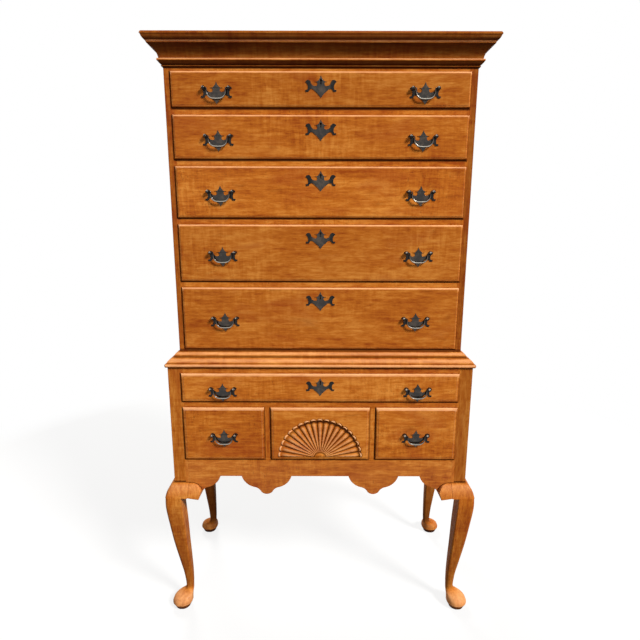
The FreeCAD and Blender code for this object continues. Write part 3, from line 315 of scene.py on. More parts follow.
class Shader:
    """The nodes of a material or a world, with one way to add a node of any type."""

    def __init__(self, owner):
        self.owner = owner
        owner.use_nodes = True
        self.tree = owner.node_tree
        self.tree.nodes.clear()

    def node(self, kind, options=None, sockets=None):
        made = self.tree.nodes.new("ShaderNode" + kind)
        for name, value in (options or {}).items():
            if name == "stops":
                self.set_stops(made.color_ramp.elements, value)
            else:
                setattr(made, name, value)
        for name, value in (sockets or {}).items():
            if isinstance(value, Wire):
                self.tree.links.new(value.socket, made.inputs[name])
            else:
                made.inputs[name].default_value = value
        return made

    def set_stops(self, elements, stops):
        while len(elements) < len(stops):
            elements.new(1)
        for element, (place, tint) in zip(elements, stops):
            element.position = place
            element.color = (*tint, 1)

    def read(self, attribute, output="Vector"):
        """A value stored on the mesh."""
        return Wire(self, self.node("Attribute", {"attribute_name": attribute}).outputs[output])

    def position(self):
        return Wire(self, self.node("TexCoord").outputs["Object"])

    def scaled(self, vector, factors):
        made = self.node("VectorMath", {"operation": "MULTIPLY"}, {0: vector, 1: factors})
        return Wire(self, made.outputs[0])

    def parts(self, vector):
        made = self.node("SeparateXYZ", sockets={0: vector})
        return [Wire(self, output) for output in made.outputs]

    def noise(self, vector, stretch, detail=2.0, roughness=0.5, distortion=0.0):
        """Noise from 0 to 1 with so many blobs a metre along each direction."""
        made = self.node("TexNoise", sockets={
            "Vector": self.scaled(vector, stretch), "Scale": 1.0, "Detail": detail,
            "Roughness": roughness, "Distortion": distortion})
        return Wire(self, made.outputs[0])

    def ramp(self, factor, stops):
        made = self.node("ValToRGB", {"stops": stops}, {"Fac": factor})
        return Wire(self, made.outputs["Color"])

    def mix(self, factor, first, second):
        """One colour turning into another."""
        made = self.node("Mix", {"data_type": "RGBA"}, {0: factor, 6: first, 7: second})
        return Wire(self, made.outputs[2])

    def finish(self, sockets, height, relief):
        """Ends the material in a surface whose bump is as high as relief, in metres."""
        bump = self.node("Bump", sockets={"Strength": 1.0, "Distance": relief, "Height": height})
        sockets["Normal"] = Wire(self, bump.outputs[0])
        surface = self.node("BsdfPrincipled", sockets=sockets)
        self.node("OutputMaterial", sockets={"Surface": Wire(self, surface.outputs[0])})
        return self.owner


BLACK = (0.002, 0.002, 0.002)
DUST = shade(104, 78, 52)
RUST = shade(86, 52, 34)
# What the floor reflects on the highboy
FLOOR_GLOW = (0.15, 0.145, 0.14)


def solid_colour(setting):
    return (*setting, 1)


def edge_distance(shader):
    """Distance of a point on a board from the board's nearest edge."""
    place = shader.parts(shader.read("place"))
    reach = shader.parts(shader.read("reach"))
    a, b, c = [half - at.size() for half, at in zip(reach, place)]
    return a.lowest(b).highest(a.highest(b).lowest(c))


def maple_material():
    """Figured maple: fine streaks, bands of curl across them, stains, and an amber varnish."""
    wood = settings("wood")
    shader = Shader(bpy.data.materials.new("figured_maple"))
    grain = shader.read("grain")
    tone = shader.read("tone", "Fac")
    clouds = shader.noise(grain, (2.4, 9, 9), 3, 0.55, 0.6)
    bands = shader.noise(grain, (7, 40, 40), 3, 0.6, 0.3)
    blots = shader.noise(grain, (26, 60, 60), 3, 0.6, 0.5)
    streaks = shader.noise(grain, (16, 150, 150), 4, 0.65)
    fibres = shader.noise(grain, (60, 600, 600), 2, 0.6)
    curl = shader.noise(grain, (105, 14, 14), 2, 0.5, 0.4)
    patches = shader.noise(grain, (4, 5, 5), 1)
    figure = (clouds - 0.5) * 1.1 + (bands - 0.5) * 0.6 + (blots - 0.5) * 0.8 + (streaks - 0.5) * 1.2
    figure = figure + (fibres - 0.5) * 0.6 + (curl - 0.5) * wood.curl * patches.between(0.3, 0.7) * 1.6
    figure = figure + tone * 0.08 + 0.5
    tint = shader.ramp(figure, [(0.05, wood.amber), (0.5, wood.honey), (0.95, wood.pale)])
    russet = shader.noise(grain, (5, 15, 15), 3, 0.55, 0.6).between(0.48, 0.74) * 0.42
    tint = shader.mix(russet, tint, solid_colour(wood.russet))
    stain = shader.noise(grain, (7, 24, 24), 3, 0.6, 0.8).between(0.6, 0.86) * 0.5
    flecks = shader.noise(grain, (150, 520, 520), 2).between(0.62, 0.74) * 0.4
    ticks = shader.noise(grain, (230, 80, 80), 2, 0.6).between(0.58, 0.74) * 0.4
    ticks = ticks * patches.between(0.35, 0.65)
    specks = shader.noise(grain, (170, 260, 260), 1).between(0.78, 0.84) * 0.8
    rim = edge_distance(shader).between(9 * MM, 0) * 0.22 * clouds.between(0.3, 0.75)
    # Above 0 this value paints dirt and painted shade in umber; below 0 it paints wear and painted
    # highlights in the worn colour
    soil = shader.read("soil", "Fac")
    grime_and_shade = (soil.highest(0) * (bands * 0.5 + 0.75)).lowest(0.92)
    tint = shader.mix(stain.highest(rim) * 0.7, tint, solid_colour(wood.umber))
    tint = shader.mix(flecks.highest(ticks).highest(specks).highest(grime_and_shade), tint, solid_colour(wood.umber))
    # Wear and painted highlights: the worn colour where the value is below 0
    rubbed = (0 - soil).highest(0) * (blots + streaks * 0.7 + 0.1)
    tint = shader.mix(rubbed.lowest(0.95), tint, solid_colour(wood.worn))
    smudge = shader.noise(grain, (11, 11, 11), 3)
    waves = shader.noise(grain, (8, 16, 16), 1)
    height = streaks * 0.1 + fibres * 0.06 - specks * 0.5 - flecks * 0.1 + waves * 1.3
    return shader.finish({
        "Base Color": tint, "Roughness": smudge * 0.2 + 0.42 + specks * 0.2,
        "Coat Weight": (1 - specks.highest(grime_and_shade)) * wood.varnish,
        "Coat Roughness": 0.22, "Coat IOR": 1.4, "IOR": 1.05,
    }, height, 0.5 * MM)


def pine_material():
    """Bare old pine: broad growth rings, knots and the dust of years."""
    wood = settings("wood")
    shader = Shader(bpy.data.materials.new("aged_pine"))
    grain = shader.read("grain")
    tone = shader.read("tone", "Fac")
    _, across, through = shader.parts(grain)
    drift = shader.noise(grain, (1.2, 6, 6), 2) * 0.09
    rings = ((across + drift) * 520 + (through + drift) * 160).wave()
    streaks = shader.noise(grain, (6, 340, 340), 3, 0.6)
    clouds = shader.noise(grain, (3, 9, 9), 3)
    amount = rings.between(0.1, 1) * 0.55 + (streaks - 0.5) * 0.9 + 0.15
    tint = shader.ramp(amount, [(0, wood.pine), (1, wood.pine_ring)])
    dust = clouds.between(0.42, 0.72) * 0.35 + tone * 0.06 + 0.05
    tint = shader.mix(dust, tint, solid_colour(DUST))
    height = rings * 0.2 + streaks * 0.6
    return shader.finish({"Base Color": tint, "Roughness": streaks * 0.2 + 0.62}, height, 0.3 * MM)


def brass_material():
    """Old brass, brown-black with patina and a little rubbed, with painted glints on the post heads and a
    polished grip on each bail that also paints its highlight.
    """
    pull = settings("pull")
    shader = Shader(bpy.data.materials.new("patinated_brass"))
    place = shader.position()
    clouds = shader.noise(place, (70, 70, 70), 4, 0.6)
    grit = shader.noise(place, (900, 900, 900), 2, 0.6)
    rubbed = (clouds + grit * 0.25).between(0.5, 0.85)
    tint = shader.mix(rubbed, solid_colour(pull.dark), solid_colour(pull.worn))
    # Painted glints on the post heads, and the bails' polished grips, which also paint their highlight
    polish_and_glint = (0 - shader.read("soil", "Fac")).between(0.1, 1) * 0.8
    tint = shader.mix(polish_and_glint, tint, solid_colour(pull.bright))
    black = shader.read("soil", "Fac").highest(0)
    tint = shader.mix(black, tint, solid_colour(BLACK))
    return shader.finish({
        "Base Color": tint, "Metallic": 0.9 - grit * 0.2, "Roughness": clouds * 0.3 + 0.2,
        "Coat Weight": (rubbed * 0.2 + 0.7) * (1 - black * 0.7), "Coat Roughness": 0.1,
    }, clouds + grit * 0.5, 0.12 * MM)


def iron_material():
    """Filed iron with a trace of rust."""
    pull = settings("pull")
    shader = Shader(bpy.data.materials.new("filed_iron"))
    place = shader.position()
    strokes = shader.noise(place, (1500, 90, 90), 2)
    rust = shader.noise(place, (160, 160, 160), 4, 0.65).between(0.55, 0.8)
    tint = shader.mix(rust, solid_colour(pull.iron), solid_colour(RUST))
    return shader.finish({
        "Base Color": tint, "Metallic": 0.9 - rust * 0.6, "Roughness": strokes * 0.25 + 0.3 + rust * 0.3,
    }, strokes + rust, 0.1 * MM)


FINISHES = {
    "maple": ("figured_maple", maple_material),
    "pine": ("aged_pine", pine_material),
    "dark_brass": ("patinated_brass", brass_material),
    "lock_iron": ("filed_iron", iron_material),
}


def material(slot):
    """The finish of one of the record's material slots, made when it is first used."""
    name, make = FINISHES[slot]
    return bpy.data.materials.get(name) or make()


# Solids

def solids(node):
    """The closed solids of a CAD node, each a bmesh with its doubles merged."""
    mesh = nodes[node].data
    keys = [tuple(round(part, 6) for part in vert.co) for vert in mesh.vertices]
    waiting = Counter()
    found = []
    start = 0
    for face in mesh.polygons:
        corners = [keys[number] for number in face.vertices]
        for here, there in zip(corners, corners[1:] + corners[:1]):
            if here == there:
                continue
            if waiting[there, here]:
                waiting[there, here] -= 1
            else:
                waiting[here, there] += 1
        waiting += Counter()
        if not waiting:
            found.append(merged_faces(mesh, start, face.index))
            start = face.index + 1
    return found


def merged_faces(mesh, first, last):
    """Some faces of a mesh as a solid: doubles merged and flat stretches made one face."""
    bm = bmesh.new()
    bm.from_mesh(mesh)
    others = [face for face in bm.faces if not first <= face.index <= last]
    bmesh.ops.delete(bm, geom=others, context="FACES")
    bmesh.ops.remove_doubles(bm, verts=bm.verts, dist=HAIR / 4)
    bmesh.ops.dissolve_limit(bm, angle_limit=math.radians(0.5), verts=bm.verts, edges=bm.edges)
    return bm


def ease(bm, width, chosen=None, segments=2):
    """Rounds the outer arrises of a solid, or those that a test of an edge picks."""
    arrises = []
    for edge in bm.edges:
        if edge.is_manifold and edge.is_convex and edge.calc_face_angle() > SHARP_ABOVE:
            if chosen is None or chosen(edge):
                arrises.append(edge)
    bmesh.ops.bevel(bm, geom=arrises, affect="EDGES", offset=width, offset_type="OFFSET",
                    segments=segments, profile=0.5, material=-1, clamp_overlap=True)
    return bm


def middle(edge):
    return (edge.verts[0].co + edge.verts[1].co) / 2


def divide(bm, point, normal, parts=None):
    """Divides the faces of a solid, or some of its parts, where a plane meets them."""
    bmesh.ops.bisect_plane(bm, geom=parts or bm.verts[:] + bm.edges[:] + bm.faces[:], dist=HAIR,
                           plane_co=point, plane_no=normal)


def slice_off(bm, point, normal):
    """Cuts away what lies beyond a plane and closes the cut."""
    everything = bm.verts[:] + bm.edges[:] + bm.faces[:]
    cut = bmesh.ops.bisect_plane(bm, geom=everything, dist=HAIR / 10, plane_co=point,
                                 plane_no=normal, clear_outer=True)
    rim = [part for part in cut["geom_cut"] if isinstance(part, bmesh.types.BMEdge)]
    bmesh.ops.triangle_fill(bm, use_beauty=True, edges=rim)
    bmesh.ops.recalc_face_normals(bm, faces=bm.faces)
    return bm


def trace(bm, corners, closed=True):
    """Draws a line through corners given as (x, z) or (x, z, radius), in the plane of X and Z.

    A radius bends the line that leaves its corner, to the left if it is positive.
    """
    at = bm.verts.new((corners[0][0], 0, corners[0][1]))
    followers = corners[1:] + (corners[:1] if closed else [])
    for corner, follower in zip(corners, followers):
        end = Vector((follower[0], 0, follower[1]))
        if len(corner) == 3:
            half = (end - at.co) / 2
            left = Vector((-half.z, 0, half.x)).normalized()
            rise = math.sqrt(max(corner[2] ** 2 - half.length_squared, 0))
            centre = at.co + half + left * math.copysign(rise, corner[2])
            turn = math.copysign(2 * math.asin(min(1, half.length / abs(corner[2]))), corner[2])
            steps = max(2, round(abs(turn) / ARC_STEP))
            made = bmesh.ops.spin(bm, geom=[at], cent=centre, axis=(0, -1, 0), angle=turn, steps=steps)
            at = made["geom_last"][0]
        else:
            at = bmesh.ops.extrude_vert_indiv(bm, verts=[at])["verts"][0]
        at.co = end
    if closed:
        bmesh.ops.remove_doubles(bm, verts=bm.verts, dist=HAIR)
    return bm


def extruded(outlines, thickness):
    """A solid of one thickness along +Y from a closed outline, less any inner ones."""
    bm = bmesh.new()
    for corners in outlines:
        loop = trace(bmesh.new(), corners)
        absorb(bm, loop)
    if len(outlines) > 1:
        bmesh.ops.triangle_fill(bm, use_beauty=True, edges=bm.edges)
    else:
        bmesh.ops.contextual_create(bm, geom=bm.edges[:])
    made = bmesh.ops.extrude_face_region(bm, geom=bm.faces[:])
    verts = [part for part in made["geom"] if isinstance(part, bmesh.types.BMVert)]
    bmesh.ops.translate(bm, vec=(0, thickness, 0), verts=verts)
    bmesh.ops.recalc_face_normals(bm, faces=bm.faces)
    return bm


def absorb(bm, other):
    """Adds another bmesh to this one, as it is, and frees it."""
    mesh = bpy.data.meshes.new("passing")
    other.to_mesh(mesh)
    other.free()
    bm.from_mesh(mesh)
    bpy.data.meshes.remove(mesh)
    return bm


def moved(bm, matrix):
    bmesh.ops.transform(bm, matrix=matrix, verts=bm.verts)
    return bm


def shifted(bm, x, y, z):
    return moved(bm, Matrix.Translation((x, y, z)))


def block(centre, size):
    """A box about its centre."""
    bm = bmesh.new()
    bmesh.ops.create_cube(bm, size=1)
    return moved(bm, Matrix.Translation(centre) @ Matrix.Diagonal((*size, 1)))


def mapped_grid(columns, rows, place):
    """A sheet of columns by rows of faces, each corner put where place(column, row) says."""
    bm = bmesh.new()
    made = bmesh.ops.create_grid(bm, x_segments=columns, y_segments=rows, size=0.5)
    for vert in made["verts"]:
        vert.co = place(round((vert.co.x + 0.5) * columns), round((vert.co.y + 0.5) * rows))
    bmesh.ops.remove_doubles(bm, verts=bm.verts, dist=HAIR)
    return bm


def closed_tube(columns, rows, place):
    """A mapped grid that wraps round, closed at its ends."""
    bm = mapped_grid(columns, rows, place)
    bmesh.ops.holes_fill(bm, edges=bm.edges, sides=0)
    bmesh.ops.recalc_face_normals(bm, faces=bm.faces)
    return bm


def linked(name, data):
    """A new object in the scene."""
    made = bpy.data.objects.new(name, data)
    bpy.context.scene.collection.objects.link(made)
    return made


def bored(solid, cutter):
    """A solid with the shape of a cutter taken out of it."""
    pair = []
    for name, bm in (("bored", solid), ("cutter", cutter)):
        mesh = bpy.data.meshes.new(name)
        bm.to_mesh(mesh)
        bm.free()
        pair.append(linked(name, mesh))
    boolean = pair[0].modifiers.new("Cut", "BOOLEAN")
    boolean.object = pair[1]
    result = pair[0].evaluated_get(bpy.context.evaluated_depsgraph_get()).to_mesh()
    bm = bmesh.new()
    bm.from_mesh(result)
    for passing in pair:
        bpy.data.objects.remove(passing)
    return bm


class Piece:
    """A piece in the making: boards join it one by one, and each keeps its own grain."""

    def __init__(self, name):
        self.name = name
        self.dice = random.Random(name)
        self.bm = bmesh.new()
        vectors = self.bm.verts.layers.float_vector
        self.grain = vectors.new("grain")
        self.place = vectors.new("place")
        self.reach = vectors.new("reach")
        self.tone = self.bm.verts.layers.float.new("tone")
        self.soil = self.bm.verts.layers.float.new("soil")

    def add(self, *shapes, along=None, edges=True, soil=None):
        """Adds the shapes that make one board, with its grain along an axis, or the longest.

        The last argument says how dark the wood is at a point: 1 is black with dirt or painted shade, below
        0 is pale with wear or a painted highlight.
        """
        before = len(self.bm.verts)
        for shape in shapes:
            absorb(self.bm, shape)
        self.bm.verts.ensure_lookup_table()
        fresh = self.bm.verts[before:]
        low = [min(vert.co[axis] for vert in fresh) for axis in range(3)]
        high = [max(vert.co[axis] for vert in fresh) for axis in range(3)]
        centre = (Vector(low) + Vector(high)) / 2
        half = (Vector(high) - Vector(low)) / 2
        if along is None:
            along = max(range(3), key=lambda axis: half[axis])
        order = [along, (along + 1) % 3, (along + 2) % 3]
        shift = Vector([self.dice.uniform(0, 9) for axis in order])
        tone = self.dice.uniform(-1, 1)
        for vert in fresh:
            inside = vert.co - centre
            vert[self.grain] = shift + Vector([inside[axis] for axis in order])
            vert[self.place] = inside
            vert[self.reach] = half if edges else Vector((1, 1, 1))
            vert[self.tone] = tone
            vert[self.soil] = soil(vert.co) if soil else 0

    def finish(self, slot, *replaced):
        """Makes the object, on the body of the node that it stands for."""
        for face in self.bm.faces:
            face.smooth = True
        for edge in self.bm.edges:
            edge.smooth = edge.is_manifold and edge.calc_face_angle() < SMOOTH_BELOW
        mesh = bpy.data.meshes.new(self.name)
        self.bm.to_mesh(mesh)
        self.bm.free()
        for left_over in ("custom_normal", "UVMap"):
            if left_over in mesh.attributes:
                mesh.attributes.remove(mesh.attributes[left_over])
        mesh.materials.clear()
        mesh.materials.append(material(slot))
        piece = linked(self.name, mesh)
        weighted = piece.modifiers.new("Weighted Normal", "WEIGHTED_NORMAL")
        weighted.keep_sharp = True
        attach(piece, nodes[replaced[0]]["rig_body"])
        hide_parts(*replaced)
        return piece


def eased_piece(node, slot, width, along=None, special=None, soil=None):
    """A piece made of a node's own solids, with softened arrises."""
    piece = Piece(node + "_eased")
    for solid in solids(node):
        if special:
            special(solid)
        ease(solid, width)
        if soil:
            score(solid)
        piece.add(solid, along=along, soil=soil)
    return piece.finish(slot, node)


# Case

LIPS = [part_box(drawer + "_front") for drawer in DRAWERS]
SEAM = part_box("upper_case_boards")[0].z
BED_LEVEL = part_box("cornice")[0].z
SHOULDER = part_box("knee_blocks")[1].z
UPPER_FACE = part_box("upper_case_boards")[0].y
LOWER_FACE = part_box("apron")[0].y
SIDE_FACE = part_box("lower_case_sides")[1].x
KNEE_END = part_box("apron")[1].x - 24 * MM
APRON_TOP = min(low.z for low, high in LIPS)
UPPER_LIP = min(low.z for low, high in LIPS if low.z > SEAM)
UPPER_END = max(high.x for low, high in LIPS if low.z > SEAM)
LOWER_END = max(high.x for low, high in LIPS if low.z < SEAM)
# How dark the case is painted, by millimetres below or left of what stands on it, where its painted shadow
# falls, and right of it and above it, where grime lines the joint
SHADED = [(0, 1), (2.8, 0.95), (5.2, 0)]
BESIDE = [(0, 0.8), (2.8, 0.3), (5.2, 0)]
ABOVE = [(0, 0.3), (2.8, 0.1), (5.2, 0)]
SPREADS = [row[0] * MM for row in SHADED]
# Face, end of the drawers and darkening of the posts of each case, and what the right posts have on top
UPPER_CASE = (UPPER_FACE, UPPER_END, 0.24)
LOWER_CASE = (LOWER_FACE, LOWER_END, 0.16)
RIGHT_DARKENING = 0.16
# Painted shadow of the cornice on the case below it, and how far down it reaches
CORNICE_SHADOW, CORNICE_REACH = 0.35, 14 * MM
# Painted shade on the rail between the two cases, under the lowest upper drawer, and wear on the apron
SEAM_SHADE, APRON_WEAR = 0.75, 0.05


def stretch(low):
    """How much wider the painted shade is under a high drawer."""
    return 1 + 1.1 * max(0, low.z - 1.1)


def along_table(table, at):
    """The value of a table of (place, value) at a place, on straight lines between its rows."""
    for (start, first), (end, last) in zip(table, table[1:]):
        if at <= end:
            return first + (last - first) * max(0, at - start) / (end - start)
    return table[-1][1]


def shade_and_grime_lines():
    """Where the case's painted shade and grime start and end, as (axis, value) pairs."""
    lines = {(2, BED_LEVEL - CORNICE_REACH), (2, SHOULDER - MM), (2, APRON_TOP - 10 * MM)}
    for end in (KNEE_END, KNEE_END - 3 * MM):
        lines |= {(0, -end), (0, end)}
    for spread in SPREADS:
        lines |= {(2, BED_LEVEL - spread), (2, SEAM - spread), (2, SHOULDER + spread)}
        for low, high in LIPS:
            for axis in (0, 2):
                below = spread * stretch(low) if axis == 2 else spread
                lines |= {(axis, low[axis] - below), (axis, high[axis] + spread)}
    return sorted(lines)


def score(bm):
    """Divides a solid's faces where painted shade and grime start and end."""
    for axis, value in shade_and_grime_lines():
        values = [vert.co[axis] for vert in bm.verts]
        if min(values) + HAIR < value < max(values) - HAIR:
            normal = Vector((axis == 0, 0, axis == 2))
            divide(bm, normal * value, normal)


def case_shade_and_grime(co):
    """Painted shade and grime on the front of the case, round the drawers and under the mouldings."""
    face, end, post_darkening = UPPER_CASE if co.z > SEAM else LOWER_CASE
    if co.y > face + MM or co.z > BED_LEVEL + HAIR:
        return 0
    # Painted shadow of the cornice, fading down the top rail
    soil = CORNICE_SHADOW * max(0, 1 - (BED_LEVEL - co.z) / CORNICE_REACH)
    if abs(co.x) > end + 4 * MM:
        soil = max(soil, post_darkening + (RIGHT_DARKENING if co.x > 0 else 0))
    elif co.z < APRON_TOP - 9 * MM:
        return -APRON_WEAR
    # Painted shade over the rail under the lowest upper drawer
    if SEAM - HAIR < co.z < UPPER_LIP:
        soil = max(soil, SEAM_SHADE)
    # Painted shadows of the drawers' lips below and left of them, and grime right of and above them
    for low, high in LIPS:
        left, right = low.x - co.x, co.x - high.x
        below, above = (low.z - co.z) / stretch(low), co.z - high.z
        away = math.hypot(max(left, right, 0), max(below, above, 0)) / MM
        table = SHADED if max(below, left) > max(above, right) else BESIDE if right > above else ABOVE
        soil = max(soil, along_table(table, away))
    # Painted shade and grime right under the bed moulding and the waist moulding
    for level in (BED_LEVEL, SEAM):
        if co.z < level + HAIR:
            soil = max(soil, along_table(SHADED, (level - co.z) / MM))
    # Painted shade just above the knees' shoulders, where they stand out from the posts and apron
    if SHOULDER + 5 * MM > co.z > SHOULDER - HAIR and abs(co.x) > KNEE_END - HAIR:
        soil = max(soil, along_table(SHADED, (co.z - SHOULDER) / MM))
    return soil


def soften_case_corner(solid):
    """Rounds the upright corners at the front of the upper case more than other edges."""
    wood = settings("wood")
    low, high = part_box("upper_case_boards")

    def outer(edge):
        at = middle(edge)
        upright = abs(edge.verts[0].co.z - edge.verts[1].co.z) > 0.1
        return upright and abs(at.x) > high.x - HAIR and at.y < low.y + HAIR
    ease(solid, wood.arris, outer)


def soften_front_edges(solid):
    """Rounds the sawn lower edge of the apron where it meets the front face."""
    low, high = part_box("apron")

    def sawn(edge):
        at = middle(edge)
        return at.y < low.y + HAIR and at.z < high.z - HAIR and abs(at.x) < high.x - HAIR
    ease(solid, 1.1 * MM, sawn)


def make_case():
    joint = settings("wood").joint
    eased_piece("upper_case_boards", "maple", joint, special=soften_case_corner, soil=case_shade_and_grime)
    eased_piece("drawer_blades", "maple", joint, soil=case_shade_and_grime)
    eased_piece("lower_case_rails", "maple", joint, soil=case_shade_and_grime)
    eased_piece("lower_case_sides", "maple", joint, along=1)
    eased_piece("apron", "maple", joint, special=soften_front_edges, soil=case_shade_and_grime)
    eased_piece("upper_case_back", "pine", 0.8 * MM)
    eased_piece("lower_case_back", "pine", 0.8 * MM)
    eased_piece("drawer_runners", "pine", 0.5 * MM)


# Mouldings

# Outlines of the mouldings in millimetres: out from the case, up from the moulding's foot, and a radius
CROWN = [(0, 0), (9, 0, -42), (34, 34.5), (34, 37), (34, 39.5), (36, 39.5, 18), (45, 51.5),
         (47, 53.5, 3), (46.5, 57, 8), (43.5, 61), (0, 61)]
BED = [(0, 0), (2.6, 0, 1.8), (2.6, 3.6), (1.4, 4.2, 20), (12.4, 14.4), (13.5, 14.4), (13.5, 16.8),
       (13.5, 19.6), (0, 19.6)]
WAIST = [(0, 0), (37.4, 0, 6.6), (34.5, 12.5), (35.4, 12.5, 26), (16, 28.5), (14, 28.5), (14, 33.5, 13),
         (4, 43.5), (0, 43.5)]
# How dark each moulding is painted at some heights: painted shade and grime in its coves, hollows and
# undersides, and painted highlights, below 0, on its rounds and fillets
CROWN_SHADE_AND_HIGHLIGHT = [(0, 0.4), (14, 0.6), (34, 0.9), (36.5, 0.6), (37.2, -0.7), (39.5, -0.9), (40, 0.9), (46, 0.7),
              (53, 0.45), (58, 0.4), (60, 0.5), (61, 0.1)]
BED_SHADE_AND_HIGHLIGHT = [(0, 1), (1.5, 0.7), (3, 0.4), (4, 1), (9, 0.8), (13, 0.8), (15, 0.7), (16.8, -0.2), (19.6, -1)]
WAIST_SHADE_AND_HIGHLIGHT = [(0, 0.8), (2, 0.1), (6, -0.8), (10, -0.6), (12, 0.3), (12.5, 0.7), (14.5, 0),
              (19, -0.45), (24, -0.5), (27, 0.1), (28.5, 0.7), (32, 0.7), (33.6, 0.4), (36, -0.35),
              (42, -0.5), (43.5, 0)]


def mitred(profile, low, high, underside):
    """Front, left and right lengths of a moulding round three sides of the case."""
    corners = [tuple(value * MM for value in corner) for corner in profile]
    reach = max(corner[0] for corner in corners)
    turns = [
        ((low.x - reach, low.y), -90, high.x - low.x + 2 * reach),
        ((low.x, high.y), 180, high.y - low.y + reach),
        ((high.x, low.y - reach), 0, high.y - low.y + reach),
    ]
    lengths = []
    for (x, y), turn, run in turns:
        stick = extruded([corners], run)
        place = Matrix.Translation((x, y, underside)) @ Matrix.Rotation(math.radians(turn), 4, "Z")
        moved(stick, place)
        if turn == -90:
            slice_off(stick, (low.x, low.y, 0), (-1, 1, 0))
            slice_off(stick, (high.x, low.y, 0), (1, 1, 0))
        elif turn == 180:
            slice_off(stick, (low.x, low.y, 0), (1, -1, 0))
        else:
            slice_off(stick, (high.x, low.y, 0), (-1, -1, 0))
        lengths.append(stick)
    return lengths


def make_mouldings():
    low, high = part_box("upper_case_boards")
    high.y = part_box("cornice")[1].y
    crown_foot = high.z - CROWN[-1][1] * MM
    bed_foot = crown_foot - BED[-1][1] * MM
    cornice = Piece("cornice_mouldings")
    for profile, foot, soil in ((CROWN, crown_foot, CROWN_SHADE_AND_HIGHLIGHT), (BED, bed_foot, BED_SHADE_AND_HIGHLIGHT)):
        for stick in mitred(profile, low, high, foot):
            cornice.add(stick, edges=False, soil=lambda co: along_table(soil, (co.z - foot) / MM))
    cornice.finish("maple", "cornice")
    waist = Piece("waist_mouldings")
    for stick in mitred(WAIST, low, high, low.z):
        waist.add(stick, edges=False, soil=lambda co: along_table(WAIST_SHADE_AND_HIGHLIGHT, (co.z - low.z) / MM))
    waist.finish("maple", "waist_moulding")


# Legs

# Below the knee: height, outer face outside the corner, inner face inside it, and the radii
# of the outer corner and of the other arrises, in millimetres
LEG_SECTIONS = [
    (436, 28.5, 26, 12, 3), (400, 29.2, 27.2, 13, 3), (335, 22.5, 30.5, 12, 4), (250, 12, 33.5, 11, 6),
    (166, -1, 37, 10, 8), (120, -8, 38.3, 10, 9), (84, -11, 38.5, 12, 11),
]
# The knee: height and outer face outside the corner
KNEE_SECTIONS = [(482, 3.5), (471, 14), (456, 23), (436, 28.5)]
# The foot: height and radius; it touches the line of the ankle's inner faces down to its widest
FOOT_SECTIONS = [(72, 13.2), (64, 13.4), (57, 14.4), (52, 16.8), (48.5, 20.8), (45, 25), (40.5, 29.2),
                 (35, 32.2), (29, 34.1), (24, 34.8), (20, 35), (18.4, 34.9), (17.2, 34), (9, 29.4),
                 (2, 26.4), (0, 25.5)]
# How dark a leg is painted at some heights in millimetres: painted shade under the foot and at the
# shoulder, darker towards the ankle, and painted highlights on the toe and the knee; the rear legs are
# darker
LEG_SHADE_AND_HIGHLIGHT = [(0, 0.9), (15, 0.6), (17.5, 0.3), (19.5, -0.6), (23, -0.35), (32, -0.5), (44, -0.5),
            (52, -0.12), (62, 0.26), (80, 0.36), (150, 0.28), (260, 0.18), (400, 0.06), (436, 0),
            (456, -0.12), (474, -0.3), (480, 0), (482, 0.6), (482.5, 0), (483, 0)]
REAR_DARKENING = 0.35
# How far from the case the painted shade on a knee block ends, and where the leg's painted highlights begin
BLOCK_GAPS = (3.5 * MM, 6 * MM)
BLOCK_SHADE_AND_HIGHLIGHT = [(0, 1), (BLOCK_GAPS[0], 0.9), (BLOCK_GAPS[1], -1), (1, -1)]


def eased_between(table, height):
    """The row of a table at a height, on a smooth curve through its rows."""
    for index in range(len(table) - 1):
        if table[index][0] >= height >= table[index + 1][0]:
            break
    before, after = table[index], table[index + 1]
    first = table[index - 1] if index > 0 else before
    last = table[index + 2] if index + 2 < len(table) else after
    gap = before[0] - after[0]
    t = (before[0] - height) / gap
    rise = 3 * t ** 2 - 2 * t ** 3
    row = []
    for column in range(1, len(before)):
        start = (after[column] - first[column]) / (first[0] - after[0]) * gap
        end = (last[column] - before[column]) / (before[0] - last[0]) * gap
        row.append(before[column] * (1 - rise) + after[column] * rise
                   + start * (t ** 3 - 2 * t ** 2 + t) + end * (t ** 3 - t ** 2))
    return row


def on_circle(centre, radius, degrees):
    turn = math.radians(degrees)
    return Vector((centre[0] + radius * math.cos(turn), centre[1] + radius * math.sin(turn)))


def square_ring(outside, inside, outer_round, arris):
    """Points round a square with rounded corners, from its outer corner on, SIDE_POINTS a side."""
    points = []
    corners = [(-outside, -outside, outer_round), (inside, -outside, arris), (inside, inside, arris),
               (-outside, inside, arris)]
    for index, corner in enumerate(corners):
        radius = corner[2]
        centre = [place + math.copysign(radius, inside - place - HAIR) for place in corner[:2]]
        for step in range(SIDE_POINTS):
            points.append(on_circle(centre, radius, 180 + 90 * (index + step / (SIDE_POINTS - 1))))
    return points


def round_ring(radius, centre):
    """The same number of points round a circle, in line with those of a square ring."""
    return [on_circle((centre, centre), radius, 225 + 90 * index + 64 * (step / (SIDE_POINTS - 1) - 0.5))
            for index in range(4) for step in range(SIDE_POINTS)]


